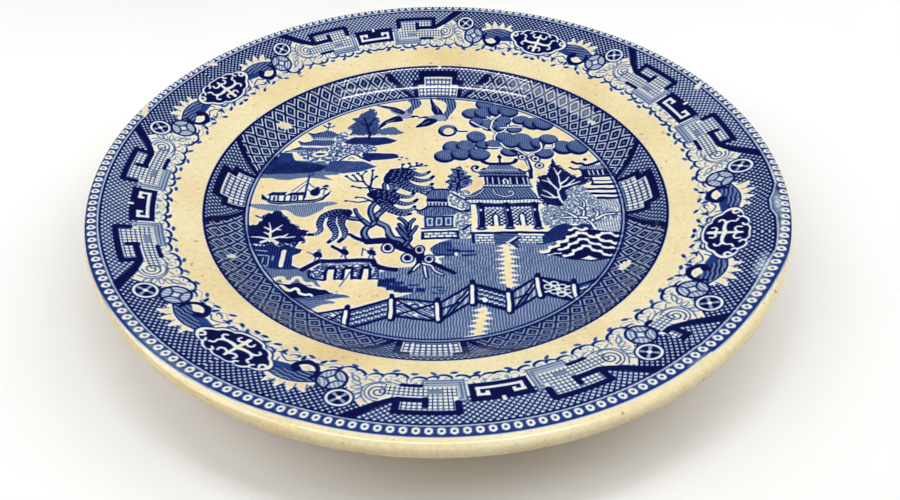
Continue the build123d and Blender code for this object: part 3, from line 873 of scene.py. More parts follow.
def draw_willow(sheet):
    """The leaning willow: trunk from the roots, three heads of hanging fronds, bare twigs."""
    for path, width in (
        ([(-7, -33), (-10.5, -28), (-12.5, -25.5), (-15.5, -24.5), (-17.5, -21.5), (-18.8, -17.5),
          (-22.4, -14.5), (-22.2, -11), (-20, -8.2), (-18.6, -5.5)], (2.4, 1.6)),
        ([(-18, -26), (-24, -25.5), (-26.4, -22), (-26.2, -18.5), (-23.6, -16), (-23, -13)], 1.9),
        ([(-25.2, -16.4), (-28.5, -13.4), (-33, -12.6), (-36.4, -10)], 1.5),
        ([(-30.8, -7.6), (-30, -10.5), (-28.2, -13)], 0.9),
        ([(-23.6, -13.4), (-24.8, -8), (-23.2, -3), (-20.6, -0.6)], (1.6, 1.1)),
        ([(-20.6, -8), (-18.8, -4), (-18.8, 0)], 1.0),
        ([(-26, 6), (-24.6, 2), (-22, 1), (-20.2, 4.6), (-20.2, 8), (-18.6, 11)], 1.0),
        ([(-13.2, -13), (-11.2, -15), (-10.2, -18), (-9.7, -21), (-9.4, -25), (-11.5, -29)], (0.8, 1.4)),
        ([(-7.6, -13.6), (-9.0, -16), (-9.8, -19.6)], 0.9),
        ([(-13.4, -16.5), (-12, -19), (-10.5, -21.5)], 0.9), ([(-14, -19), (-12.5, -22), (-10, -25)], 0.9),
        ([(-6.6, -17.6), (-8, -20.4), (-9.4, -23)], 0.8),
    ):
        wide = tuple(w + 1.1 for w in width) if isinstance(width, tuple) else width + 0.9
        sheet.line(path, wide, NAVY)
        sheet.line([(x + 0.15, y + 0.15) for x, y in path],
                   0.5 * (wide[0] if isinstance(wide, tuple) else wide) - 0.35, 0.42)
    sheet.oval((-21.2, -21.2), (2.6, 3.6), BARE, turn=15)
    for head in ([(-20.4, 10.4), (-20.2, 13.6), (-18.4, 16.8), (-15, 19), (-11, 18.6), (-8, 16), (-10, 12),
                  (-14, 8.6), (-18, 8.4)],
                 [(-27, 1.4), (-24.6, 4.4), (-20.4, 5), (-16, 3.4), (-13.6, 0), (-16, -5), (-19.6, -6.6),
                  (-22, -3)],
                 [(-43, -10.6), (-41, -8.6), (-36.6, -8), (-33.4, -9.4), (-35, -12), (-39, -12)]):
        sheet.fill(head, NAVY, smooth=True)
    for path, width in (
        ([(-17, 17), (-12, 18), (-8, 15.6), (-5.5, 14.5), (-3.4, 15.2), (-2.0, 16.6)], 2.6),
        ([(-18, 15), (-12, 14.6), (-8, 11.7), (-5, 10.6), (-2, 11.2), (-0.2, 13.4)], 2.6),
        ([(-18.6, 12.4), (-13, 11.6), (-10, 8.5), (-7, 6.5), (-4, 5.8), (-1.5, 6.6), (-0.5, 8.4)], 2.4),
        ([(-18, 10.4), (-15, 9.4), (-12, 6.6), (-9, 4.4), (-5, 3.7), (-2, 4.2), (-0.3, 5.6)], 2.0),
        ([(-16, 9), (-14.6, 6.4), (-16, 4.2)], 1.4), ([(-17.6, 9.6), (-17, 6), (-18.4, 3.2)], 1.4),
        ([(-23.6, 3), (-18, 3.2), (-14, 1.0), (-11, 0.2), (-9, 0.9), (-8.1, 2.6)], 2.4),
        ([(-23.6, 1), (-18, 0.2), (-15, -2.6), (-12, -4.2), (-9, -3.8), (-6.8, -1.6)], 2.5),
        ([(-22.6, -1.4), (-19.4, -3), (-17, -6), (-14, -8.2), (-11, -8.7), (-8.5, -7.6), (-7.6, -6)], 2.4),
        ([(-21, -3.6), (-18.6, -6.4), (-16, -9), (-12, -10.9), (-9, -10.4)], 2.0),
        ([(-34, -9.4), (-37.4, -8.8), (-41, -9.6), (-43.6, -12), (-44, -16), (-43.2, -19.4), (-44.6, -21.6),
          (-47.4, -22)], 3.0),
        ([(-35.6, -10.4), (-38.6, -11.6), (-39.9, -14.6), (-38.6, -18), (-37.2, -21), (-37.6, -24),
          (-39.6, -26.4)], 3.6),
        ([(-34.6, -11), (-36, -13.6), (-35.6, -17), (-34, -20), (-33.6, -23), (-35.6, -26)], 3.0),
    ):
        frond(sheet, path, width)
    sheet.line([(-37.8, -12.8), (-37.4, -16), (-35.8, -20), (-35.6, -24)], 0.55, BARE)
    sheet.line([(-41.4, -13), (-41.8, -16.4), (-40.4, -20)], 0.5, BARE)
    for path in (
        [(-12.5, 17.5), (-13.4, 20), (-13, 22)], [(-12, 18), (-9.8, 20.6), (-10.5, 22.8)],
        [(-10, 20), (-7.2, 21), (-5, 22.2)], [(-7.2, 21), (-7, 23)], [(-7.4, 20.8), (-3.2, 21)],
        [(-10.4, 18.6), (-8, 18.8)], [(-20.6, 5), (-25.6, 6.2), (-28.6, 9.8), (-29.6, 14), (-28.2, 17.3)],
        [(-28.8, 10.4), (-33, 11), (-36.2, 14.3)], [(-29.2, 13), (-31.5, 16.2)], [(-31, 10.8), (-33.5, 15)],
        [(-26, 6.4), (-25.4, 12), (-25.4, 18)], [(-26, 6.2), (-30, 6)], [(-24, -3), (-28, -0.4), (-31, 0)],
        [(-25.6, -2), (-30, -3), (-35, -2)], [(-25.5, 10.6), (-23.6, 13.6)], [(-30, 6.2), (-33.4, 7.4)],
    ):
        sheet.line(path, (0.9, 0.5), NAVY)
        sheet.oval(path[-1], (0.75, 0.6), NAVY)
    sheet.line([(-24.5, -26), (-18, -25.8), (-14, -28.5), (-9, -31.2), (-5, -34), (-1, -37.4), (3, -40),
                (7.2, -42.6)], (3.4, 1.5), NAVY)
    sheet.line([(-32, -21.8), (-28, -24.6), (-23, -26.4)], (1.2, 2.2), NAVY)
    sheet.line([(-5, -33), (-5.8, -38), (-9.4, -43)], (3.0, 1.0), NAVY)
    for path in ([(-4, -37), (-3.4, -41), (-3, -45)], [(-4, -38), (-1, -39.2), (0, -41.5), (2.8, -43.6)],
                 [(-5.5, -38.4), (-7.6, -41.4)]):
        edged(sheet, path, (1.0, 0.6), 0.5)
    for x, y, wide, high in ((-17, -29.7, 2.1, 2.4), (-9.6, -34.9, 2.1, 2.3), (-5.3, -30.6, 1.6, 2.0),
                             (-1.7, -35.8, 1.6, 2.0)):
        sheet.oval((x, y), (wide + 0.6, high + 0.55), NAVY)
        sheet.oval((x, y), (wide, high), 0.04)
        sheet.oval((x, y + 0.1), (wide * 0.66, high * 0.66), NAVY)
        sheet.line([(x + wide * 0.35, y + high * 0.4), (x + wide * 0.5, y - high * 0.1)], 0.3, 0.3)


def draw_right_bank(sheet):
    """The dark-leaved tree, the small pagoda, the weeping bush and the hill."""
    sheet.box(60, -28, 76, -1.6, stripes(1.0, 0.10, 0.50))
    leafy(sheet, [(50.5, 23.3), (51.4, 20.4), (53.4, 18), (55, 15), (58, 12.4), (62.8, 11), (61.8, 8.6),
                  (58.4, 6.6), (55, 5), (54.8, 0.5), (52.5, -1), (51, -4.2), (49.5, -6), (45, -4.8),
                  (43, -2), (40.8, 2.5), (42.4, 6.5), (43.4, 9.5), (44, 12.5), (47, 14), (48.2, 18),
                  (49.4, 20)], stripes(1.0, 0.82, 1.0), NAVY)
    for path in ([(50.8, -4), (50, -1), (50, 3), (51.5, 5.5), (51.5, 10), (51.2, 14), (50, 18.4)],
                 [(51.2, 14), (52.8, 16.8)], [(51.5, 6), (54, 6.6), (56, 9), (57.8, 10.8)],
                 [(54, 6.6), (59.8, 9.4)], [(52, 8), (54, 10), (55.6, 12.4)],
                 [(50, 4.5), (48.5, 7), (47, 9), (44.6, 10.2)], [(48, 8), (47, 11.6)],
                 [(50, -0.5), (46, -0.8), (42.8, 0.8)], [(48, -0.5), (46, 2.2), (44, 3.6)]):
        sheet.line(path, (1.0, 0.55), 0.04)
    sheet.box(61, 12, 64.4, 20, 0.86)
    sheet.fill([(60, 17.6), (61.6, 20.2), (72, 20.6), (72, 17.6)], stripes(0.9, 0.2, 0.66))
    sheet.line([(58.8, 22.6), (60.4, 21.5), (62.2, 21.6), (64, 20.4), (67, 21.3), (69.6, 22.6)], 1.6, NAVY)
    sheet.line([(56.8, 18.8), (58.4, 17.7), (60.4, 18), (61.4, 16.4)], 1.0, NAVY)
    sheet.oval((64.3, 24.4), (0.8, 1.0), NAVY)
    sheet.line([(61, 17.2), (73, 17.2)], 0.7, NAVY, smooth=False)
    sheet.box(61.4, 13.4, 73, 16.8, 0.92)
    for x in (64.2, 66, 68, 70):
        sheet.line([(x, 16.6), (x, 13.8)], 0.6, 0.04, smooth=False)
    sheet.line([(60.6, 12.6), (73, 12.6)], 1.3, NAVY, smooth=False)
    for row, (level, left) in enumerate(((9.6, 65.0), (7.2, 64.4), (4.2, 61.9), (1.3, 62.5), (-1.4, 65.4))):
        sheet.line([(left, level + 1.2), (74, level + 1.2)], 1.1, 0.05, smooth=False)
        sheet.line([(left, level), (74, level)], 1.3 if row else 0.6, NAVY, smooth=False)
    sheet.line([(64.6, 11.6), (64.6, 7)], 0.8, NAVY, smooth=False)
    bush = stipple(1.0, 0.04, 0.54, seed=2.7)
    sheet.fill([(53, 3), (55, 5), (58, 7), (61, 6), (62, 3), (64, 0), (65, -4), (68, -7), (73, -10),
                (72, -13), (66, -14), (62, -16), (56, -17), (50, -17), (44, -19), (41.2, -14), (42, -8),
                (46, -6), (50, -6), (53, -1)],
               bush, smooth=True)
    ground = [(43, -20.8), (46, -18), (50, -16.6), (53.5, -18), (57, -16.8), (60, -18), (62, -23),
              (52, -25), (47, -26), (40.5, -28), (38, -27), (41, -23)]
    sheet.fill(ground, stripes(1.1, 0.66, 1.0, angle=60, wave=0.1), smooth=True)
    for path in ([(61.5, -23), (61, -19), (60, -16), (58, -13), (58.5, -8), (59, -4), (57.5, -1.5)],
                 [(59, -13.5), (54, -13), (50, -13), (47, -12)], [(55, -13), (52, -10), (50, -9)],
                 [(58, -8), (56, -6)], [(61, -15), (63, -12), (63.5, -10), (62.5, -8.5)],
                 [(62.5, -14), (66, -11.5), (70, -10.7)]):
        edged(sheet, path, (1.2, 0.5), 0.4)
    for turn in range(5):
        tip = (61.5 + 1.7 * math.cos(1.257 * turn + 0.3), -20.6 + 1.7 * math.sin(1.257 * turn + 0.3))
        sheet.line([(61.5, -20.6), tip], 0.8, BARE)


def draw_birds(sheet):
    """Two swallows meeting over the island."""
    tail = stripes(1.3, 0.40, 0.84, angle=8)
    for points, tone in (
        ([(-14.4, 62.2), (-11.6, 65.6), (-10.2, 69.2), (-11.8, 72.4), (-9.4, 74.2), (-7, 73.2),
          (-5.4, 70.4), (-6.2, 67.2), (-8.8, 64.6), (-9.8, 61.4), (-11.4, 59.6)], tail),
        ([(-20.2, 64.2), (-19, 61.6), (-16.4, 59.6), (-15.4, 57.2), (-11.6, 57.2), (-8.2, 58.2),
          (-8.6, 59.6), (-10.8, 60.6), (-12.2, 63.4), (-15, 63.2)], stripes(0.8, 0.16, 0.62, angle=-30)),
        ([(-26.8, 68.2), (-21, 67.4), (-16.4, 65.6), (-13.2, 62.6), (-14.4, 60.8), (-17.4, 62.2),
          (-20.6, 64.8)], NAVY),
        ([(-24.4, 49), (-23.4, 53.4), (-20.4, 56.8), (-17, 59.4), (-15, 58.4), (-13.8, 55.4), (-16.6, 54.5),
          (-20.3, 53.4), (-22.3, 51)], NAVY),
        ([(-1.7, 75), (0.3, 70.6), (2.3, 66.6), (4.2, 62.6), (4.4, 59.4), (1.2, 59.4), (-0.4, 63),
          (-0.8, 68)], NAVY),
        ([(2, 74.8), (6.2, 74.4), (9.7, 72.5), (11, 69), (10.2, 64.4), (7.7, 59.3), (5.6, 55), (2.8, 56.6),
          (4.6, 60.4), (5.8, 63), (6.4, 66.4), (6, 69.4), (4.2, 71.6), (1.6, 72.6)], tail),
        ([(-4.6, 57.6), (-2.4, 58.8), (0.2, 59.4), (3.6, 60), (5.6, 57.6), (4.6, 55), (0.8, 54.6),
          (-2.4, 56)],
         stripes(0.8, 0.14, 0.62, angle=40)),
        ([(-7.9, 49.7), (-5.2, 54), (-3, 56.8), (0.4, 56.6), (1.6, 54.4), (-1.3, 51.4), (-4, 50)], NAVY),
    ):
        sheet.fill(points, tone, smooth=True)
    for points in ([(-9.4, 58.7), (-8, 58.9), (-6.6, 58.0)], [(-3.6, 57.9), (-5, 57.9), (-6.4, 57.2)]):
        sheet.line(points, (1.7, 0.6), NAVY)
    for points in ([(-22, 66.4), (-17.2, 63.8), (-15.4, 62.6)], [(-21.6, 53.4), (-18, 56)],
                   [(0.6, 69), (2.2, 64.4), (2.6, 61.6)], [(-5, 52), (-2, 54.4)]):
        sheet.line(points, 0.4, 0.25)


SCENE_PARTS = [
    draw_water, draw_flames, draw_island, draw_boat, draw_left_bank, draw_rocks, draw_great_tree,
    draw_right_bank, draw_rocks, draw_cypress, draw_pagoda, draw_trunk, draw_small_pavilion,
    draw_bridge, draw_willow, draw_birds, draw_fence,
]


def draw_scene(x, y, spacing):
    """Everything inside the ring at the foot of the cove, from the back to the front."""
    drift_x = 0.16 * np.sin(0.31 * y + 0.11 * x) + 0.07 * np.sin(1.1 * y + 0.7 * x)
    drift_y = 0.16 * np.sin(0.27 * x - 0.13 * y) + 0.07 * np.sin(0.9 * x - 1.2 * y)
    sheet = Drawing(x + drift_x, y + drift_y, spacing)
    for draw in SCENE_PARTS:
        draw(sheet)
    edge = Drawing(x, y, spacing)
    edge.ink = sheet.ink
    for ring_radius, width, tone in ((73.45, 0.6, 0.92), (74.15, 0.45, 0.30), (74.8, 0.6, 0.92)):
        edge.ring((0, 0), ring_radius, width, tone)
    wear(edge.ink, x, y)
    return edge.ink


# ---------------------------------------------------------------- the band round the scene
BAND_CENTRES = [-1.0, 88.3, 177.6, 269.3, 359.0, 448.3]
BAND_MM_PER_DEGREE = math.radians(82.0)


def draw_band(angle, radius, spacing):
    """Four stepped cartouches with a lattice between, mirrored about each cartouche."""
    turn = np.interp((angle + 1.0) % 360.0 - 1.0, BAND_CENTRES, [0, 90, 180, 270, 360, 450])
    from_centre = np.abs((turn + 45.0) % 90.0 - 45.0) * BAND_MM_PER_DEGREE
    sheet = Drawing(from_centre, radius, spacing)
    sheet.box(-2, 74, 66, 90, nested_lozenges(4.55))
    sheet.fill([(-2, 75), (12.0, 75), (25.5, 89), (-2, 89)], lattice(1.95, 0.14, 0.86, 0.30))
    sheet.line([(12.9, 74.8), (25.6, 88.8)], 1.8, NAVY, smooth=False)
    sheet.box(-2, 75, 12.0, 83.3, NAVY)
    sheet.box(-2, 80, 8.9, 86.6, NAVY)
    squares = grid(1.85, BARE, 0.74, 0.35)
    for right, top in ((9.9, 81.4), (6.6, 84.4)):
        sheet.box(-2, 75, right, top, BARE)
        sheet.box(-2, 75.4, right - 0.5, top - 0.5, squares)
    # Painted shade: on the front half of the band the lattice's light lines are greyed, most at the front,
    # but not on the cartouches
    front_shade = np.clip(0.16 - 0.26 * np.sin(np.radians(angle)), 0.0, 0.36)
    shaded_lattice = (from_centre > 12.0) & (radius > 75.3) & (radius < 88.0)
    sheet.ink = np.where(shaded_lattice, np.maximum(sheet.ink, front_shade), sheet.ink)
    sheet.box(-2, 88.0, 66, 88.9, 0.97)
    sheet.box(-2, 88.9, 66, 92, BARE)
    sheet.box(-2, 73, 66, 75.3, 0.92)
    sheet.box(-2, 73.93, 66, 74.37, 0.20)
    wear(sheet.ink, radius * np.cos(np.radians(angle)), radius * np.sin(np.radians(angle)))
    return sheet.ink


# ---------------------------------------------------------------- the border on the rim
# The border's strips meet at the seam.  Keys and medallions alternate, laid a little unevenly
# by hand, and the strip creeps inwards before it meets its own start.
SEAM = 309.0
MOTIF_CENTRES = [295.0, 338.2, 380.1, 422.5, 465.2, 508.3, 552.3, 596.6, 640.1, 683.2]
HALF_REPEAT = 83.0
CREEP_ANGLES = [309, 320, 334, 348, 365, 400, 470, 560, 577, 592, 602, 614, 640, 669]
CREEP = [-3.1, -2.6, -1.6, -0.7, 0.2, 0.5, 0.3, 0.0, -0.6, -1.7, -2.4, -3.5, -3.5, -3.4]
# By the right rim the strip puckers: how far its outer line and its beads stand out there
PUCKER_ANGLES = [320, 327, 331, 334, 338, 342, 344, 346.5, 348.5, 350.5, 356, 366]
LINE_SHIFT = [0.0, 0.3, 0.8, 1.8, 1.4, 0.7, -0.9, -1.0, 0.4, 1.4, 1.1, 0.0]
BEAD_SHIFT = [0.0, 0.4, 0.9, 1.3, 1.4, 1.4, 1.4, 1.4, 1.4, 1.4, 1.1, 0.0]
# Pale patches that lift the print: the six by the right rim, from 306 to 353 degrees, are painted
# reflection, and the three fainter ones are milky smears in the glaze. Angle and radius, then half sizes in
# degrees and mm, and strength
GLARE_AND_SMEARS = [(345.3, 122.2, 3.8, 1.7, 0.95), (339.0, 123.2, 5.5, 1.1, 0.75), (329.6, 119.8, 4.0, 2.8, 0.85),
          (324.0, 121.2, 3.6, 1.8, 0.60), (306.5, 123.2, 2.8, 1.7, 0.85), (352.5, 123.4, 2.8, 1.0, 0.60),
          (436.0, 123.5, 8.0, 1.0, 0.35), (590.0, 123.6, 12.0, 1.2, 0.45), (640.0, 124.3, 9.0, 1.2, 0.45)]
BEADS = 228
BEAD_CIRCLE = 123.9
COMB = grid(1.42, BARE, 0.74, 0.37)


def draw_key(sheet):
    """The fret group: a key in the middle, a gridded block and a stepped fret beside it."""
    sheet.box(10.0, 101.9, 16.6, 112.2, stripes(0.95, 0.16, 0.34, angle=90))
    sheet.box(10.0, 101.9, 23.4, 105.4, stripes(0.95, 0.22, 0.44, angle=90))
    for inset in (0.2, 1.4):
        for path in (
            [(10.0 + inset, 102.1 + inset), (10.0 + inset, 112.0 - inset), (16.4 - inset, 112.0 - inset)],
            [(10.0 + inset, 102.1 + inset), (23.2 - inset, 102.1 + inset), (23.2 - inset, 105.2 - inset)],
        ):
            sheet.line(path, 0.4, 0.62, smooth=False)
    sheet.box(12.4, 105.3, 33.0, 110.0, BARE)
    sheet.box(12.6, 105.5, 33.0, 109.8, COMB)
    sheet.box(17.4, 106.6, 21.6, 108.6, 0.42)
    sheet.box(12.6, 110.0, 29.0, 116.0, BARE)
    sheet.box(14.0, 112.2, 28.8, 115.6, COMB)
    sheet.box(14.0, 110.0, 21.6, 112.4, COMB)
    sheet.line([(12.9, 112.4), (12.9, 116.7), (29.9, 116.7), (29.9, 111.3), (22.0, 111.3)], 1.95, NAVY,
               smooth=False)
    sheet.line([(21.9, 110.8), (21.9, 113.8)], 1.8, NAVY, smooth=False)
    sheet.line([(29.6, 111.3), (32.6, 112.7), (35.6, 115.2), (38.6, 118.4), (42.2, 122.0)], (2.0, 2.4),
               NAVY)
    sheet.line([(23.4, 104.9), (29.4, 104.9)], 1.35, NAVY, smooth=False)
    sheet.box(-1, 104.5, 9.2, 112.5, NAVY)
    sheet.box(-1, 106.2, 7.3, 107.4, 0.05)
    sheet.box(6.0, 106.2, 7.3, 110.3, 0.05)
    sheet.box(3.4, 109.1, 7.3, 110.3, 0.05)
    sheet.box(3.4, 108.2, 4.6, 110.4, BARE)
    sheet.box(-1, 111.3, 0.6, 113.3, BARE)


def draw_volute(sheet):
    """The scroll that ends the gridded band, with the sprigs round it."""
    centre = (35.4, 109.1)
    sheet.oval(centre, (4.5, 4.3), BLUE)
    sheet.oval(centre, (4.1, 3.9), BARE)
    sheet.box(29.4, 105.2, 35.4, 109.8, COMB)
    spiral = []
    for k in range(16):
        reach, turn = 3.1 - 0.17 * k, math.radians(100 - 42 * k)
        spiral.append((centre[0] + 0.3 + reach * math.cos(turn), centre[1] + reach * math.sin(turn)))
    sheet.line(spiral, 0.5, 0.74)
    sheet.line([(29.0, 105.2), (33.0, 104.2), (37.6, 105.0), (40.4, 107.6), (40.2, 111.4), (38.0, 114.2)],
               0.45, 0.62)
    for k in range(5):
        start = (41.0 + 0.7 * k, 112.4 - 2.0 * k)
        sheet.oval(start, (1.8, 0.85), 0.66, turn=60 - 24 * k)
        sheet.oval((start[0] + 0.1, start[1]), (1.4, 0.5), BARE, turn=60 - 24 * k)


def draw_wheel(sheet):
    """The small wheel with dark lobes."""
    centre = (45.6, 114.3)
    sheet.oval(centre, (4.3, 4.2), 0.90)
    sheet.oval(centre, (3.8, 3.7), BARE)
    sheet.oval(centre, (2.95, 2.85), NAVY)
    for turn in (55, 145, 235, 325):
        spot = (centre[0] + 2.2 * math.cos(math.radians(turn)),
                centre[1] + 2.2 * math.sin(math.radians(turn)))
        sheet.line([centre, spot], (0.5, 1.2), 0.30, smooth=False)
    sheet.oval(centre, (0.75, 0.75), BARE)


def draw_coin(sheet):
    """The round coin with four petals."""
    centre = (50.6, 107.2)
    hatch = stripes(1.3, 0.16, 0.40, angle=35, wave=0.15)

    def petals(x, y):
        level = hatch(x, y)
        for side_x, side_y in ((1, 1), (1, -1), (-1, 1), (-1, -1)):
            out = np.hypot(x - centre[0] - 3.25 * side_x, y - centre[1] - 3.25 * side_y)
            level = np.maximum(level, 0.88 * np.clip(1.5 - np.abs(out - 3.3) / 0.3, 0.0, 1.0))
        return level

    sheet.oval(centre, (4.9, 4.9), NAVY)
    sheet.oval(centre, (4.2, 4.2), petals)
    sheet.fill([(50.6, 108.5), (51.7, 107.2), (50.6, 105.9), (49.5, 107.2)], 0.10)


def draw_leaf(sheet):
    """The acanthus leaf between coin and medallion: a pale crest, a blue body, a dark curl."""
    sheet.fill([(54, 110.4), (60, 112.5), (69, 112), (70.5, 106), (67, 104.4), (61, 104.8), (55, 104.0)],
               0.72, smooth=True)
    sheet.fill([(54, 104.6), (60, 106.4), (66, 105.6), (71, 106.4), (72, 102.4), (54, 102.4)], BARE)
    sheet.fill([(55.0, 110.0), (55.4, 112.6), (60.6, 114.4), (66.6, 113.6), (69.8, 111.6)], BARE,
               smooth=True)
    for k in range(4):
        foot = (57.6 + 3.0 * k, 111.4 + 0.6 * k - 0.18 * k * k)
        lean = -2.2 + 1.0 * k
        tip = (foot[0] + lean, foot[1] + 4.3 - 0.30 * (k - 1.5) ** 2)
        bend = (foot[0] + 0.3 * lean - 0.3, foot[1] + 2.2)
        sheet.line([foot, bend, tip], (3.7, 1.0), BARE)
        sheet.line([(foot[0] - 1.6, foot[1] + 0.4), (bend[0] - 1.4, bend[1]), (tip[0] - 0.9, tip[1] - 0.6)],
                   0.35, 0.70)
    body = [(54.8, 109.4), (58, 111.2), (62.8, 112.1), (68.0, 111.2), (70.4, 109.6), (68.4, 108.2),
            (66.4, 109.0), (65.4, 107.2), (63.6, 108.4), (62.0, 106.6), (60.6, 107.8), (58.4, 106.2),
            (56.2, 106.4)]
    sheet.fill(body, stripes(1.35, 0.42, 0.86, angle=80, wave=0.14))
    sheet.line([(54.8, 110.6), (59.5, 112.5), (64.5, 112.9), (70.0, 111.5)], 0.6, BARE)
    sheet.line([(54.8, 110.1), (59.5, 111.9), (64.5, 112.3), (69.8, 111.0)], 0.5, NAVY)
    sheet.line([(56.6, 109.0), (56.0, 106.0), (57.6, 103.3), (60.6, 102.5), (63.2, 103.7), (63.8, 105.6),
                (62.4, 106.7)],
               (1.0, 2.5), NAVY)
    sheet.oval((60.0, 105.4), (1.5, 1.2), BARE)
    sheet.line([(65.0, 106.4), (67.4, 107.2), (69.6, 106.4), (70.4, 104.4)], 0.5, BLUE)
    sheet.line([(64.6, 103.2), (66.8, 104.6), (69.2, 103.8), (71.4, 102.2)], 0.5, BLUE)


def draw_medallion(sheet):
    """The dark lobed medallion with a pale branching figure."""
    lobes = [(0, 115.0), (2.6, 115.1), (4.2, 114.4), (6.0, 114.8), (7.8, 114.3), (9.0, 113.3),
             (10.8, 113.2), (12.6, 112.4), (13.9, 111.0), (14.0, 109.2), (12.8, 107.6), (11.2, 106.4),
             (10.2, 104.8), (8.2, 103.6), (6.4, 103.4), (4.6, 102.0), (0, 101.3)]
    rim = [(HALF_REPEAT - out, up) for out, up in lobes]
    rim += [(HALF_REPEAT + out, up) for out, up in reversed(lobes[1:-1])]
    centre_up = 109.2
    for shrink, tone in ((1.06, 0.88), (1.01, BARE), (0.91, NAVY)):
        edge = [(HALF_REPEAT + (across - HALF_REPEAT) * shrink, centre_up + (up - centre_up) * shrink)
                for across, up in rim]
        sheet.fill(edge, tone, smooth=True, steps=3)
    figure = [
        ([(0, 103.5), (0, 108.0), (0, 112.9)], (1.7, 1.1)),
        ([(0, 108.3), (2.4, 107.8), (4.6, 107.9), (6.2, 108.3)], (1.5, 0.9)),
        ([(5.2, 108.1), (7.0, 107.5), (7.5, 106.5), (6.6, 105.9)], 0.85),
        ([(5.4, 108.2), (6.6, 109.4), (6.4, 110.9), (7.6, 111.6)], 0.85),
        ([(0, 111.9), (1.9, 111.0), (3.2, 111.6), (3.0, 112.7)], 0.85),
        ([(0, 104.9), (1.9, 105.7), (3.0, 105.0), (2.8, 104.1)], 0.85),
        ([(13.2, 110.9), (12.0, 109.9), (10.8, 110.6), (11.3, 111.6)], 0.9),
        ([(9.0, 113.0), (8.6, 112.2), (9.4, 111.5)], 0.8),
        ([(4.3, 114.1), (4.0, 113.4), (5.0, 112.9)], 0.8),
    ]
    for path, width in figure:
        sheet.line([(HALF_REPEAT - out, up) for out, up in path], width, BARE)


def draw_sprigs(sheet):
    """Along the inner edge: loose leaves by the medallion, and shells by the key."""
    sheet.fill([(-1, 101.6), (84, 101.4), (84, 103.6), (72, 104.6), (47, 105.5), (30, 104.6), (-1, 104.6)],
               stipple(1.9, BARE, 0.46, seed=1.3, share=0.18))
    stem = [(46 + 2.3 * k, 100.4 + 0.9 * math.sin(1.9 * k)) for k in range(17)]
    sheet.line(stem, 0.28, 0.50, steps=3)
    for k in range(24):
        side = 1 - 2 * (k % 2)
        across = 1.4 + 3.5 * k + 0.9 * math.sin(2.7 * k)
        up = 100.0 + 1.0 * side + 0.6 * math.sin(1.9 * k)
        if side < 0 or across > 46:
            turn = 35 + 40 * side + 30 * math.sin(2.2 * k)
            sheet.oval((across, up), (1.35, 0.6), 0.80 + 0.14 * math.sin(3.3 * k), turn)
    for k in range(18):
        across = 1.6 + 4.6 * k + 0.7 * math.sin(2.3 * k)
        large = 1.0 if across < 48 else 0.72
        up = 101.2 + 0.6 * math.sin(1.7 * k) + (1.0 - large) * 4.0
        lean = 22 * math.sin(1.9 * k)
        sheet.oval((across, up), (2.5 * large, 1.35 * large), 0.88, lean)
        sheet.oval((across + 0.3, up + 0.55 * large), (2.1 * large, 1.05 * large), 0.04, lean)
        sheet.line([(across - 0.8, up + 0.3), (across + 0.5, up + 0.9)], 0.3, 0.5)


def draw_border(angle, radius, spacing):
    """The whole border: one half repeat is drawn, and folds over the sixteen half repeats."""
    round_angle = SEAM + (angle - SEAM) % 360.0
    repeats = np.interp(round_angle, MOTIF_CENTRES, np.arange(len(MOTIF_CENTRES)))
    across = (1.0 - np.abs(repeats % 2.0 - 1.0)) * HALF_REPEAT
    up = radius - np.interp(round_angle, CREEP_ANGLES, CREEP)
    pull = np.clip((up - 112.0) / 8.0, 0.0, 1.0)
    sheet = Drawing(across, up - pull * np.interp(round_angle, PUCKER_ANGLES, LINE_SHIFT), spacing)
    sheet.fill([(-1, 122.4), (42, 122.4), (42, 118.0), (34, 112), (29, 110.0), (-1, 110.0)],
               lattice(1.9, 0.15, 0.93, 0.35))
    sheet.fill([(41, 122.4), (84, 122.4), (84, 108), (70, 110.5), (57, 110.5), (50, 104.5), (46.0, 108.0),
                (42.5, 112.5), (39, 116.5)], lattice(1.9, 0.14, 0.94, 0.29))
    draw_sprigs(sheet)
    draw_leaf(sheet)
    draw_volute(sheet)
    draw_key(sheet)
    draw_wheel(sheet)
    draw_coin(sheet)
    draw_medallion(sheet)
    sheet.box(-1, 121.1, 84, 121.7, 0.93)
    sheet.box(-1, 121.75, 84, 122.3, 0.14)
    sheet.box(-1, 122.3, 84, 129, 0.72)
    outer = Drawing(across, up - np.interp(round_angle, PUCKER_ANGLES, BEAD_SHIFT), spacing)
    outer.ink = sheet.ink
    outer.box(-1, 125.7, 84, 126.15, 0.85)
    outer.box(-1, 126.15, 84, 126.6, 0.16)
    outer.box(-1, 126.6, 84, 132, BARE)
    along_beads = np.radians((round_angle * BEADS / 360.0 % 1.0 - 0.5) * 360.0 / BEADS) * BEAD_CIRCLE
    out = np.hypot(along_beads / 1.26, (outer.y - BEAD_CIRCLE) / 1.42)
    bead = np.interp(out, [0, 0.22, 0.40, 0.52, 0.92, 1.08], [0.9, 0.85, 0.12, 0.0, 0.04, 1.0])
    sheet.ink = np.where(out < 1.08, np.minimum(sheet.ink, bead), sheet.ink)
    # Lift the print under each patch: painted reflection by the right rim, milky smears elsewhere
    for at_angle, at_radius, degrees, reach, strength in GLARE_AND_SMEARS:
        gone = np.hypot(((round_angle - at_angle + 180) % 360 - 180) / degrees,
                        (radius - at_radius) / reach)
        ragged = 0.8 + 0.2 * np.sin(5.3 * round_angle + 2.1 * radius) * np.sin(2.9 * radius)
        sheet.ink *= 1.0 - strength * ragged * np.clip(1.0 - gone, 0.0, 1.0) ** 0.6
    wear(sheet.ink, radius * np.cos(np.radians(angle)), radius * np.sin(np.radians(angle)))
    return sheet.ink


# ---------------------------------------------------------------- meshes
def spread(ink, columns, reach=4):
    """The faint blush of cobalt round the print: the ink averaged over its neighbours in a net."""
    net = ink.reshape(-1, columns)
    for axis in (0, 1):
        net = sum(np.roll(net, shift, axis) for shift in range(-reach, reach + 1)) / (2 * reach + 1)
    return net.ravel()


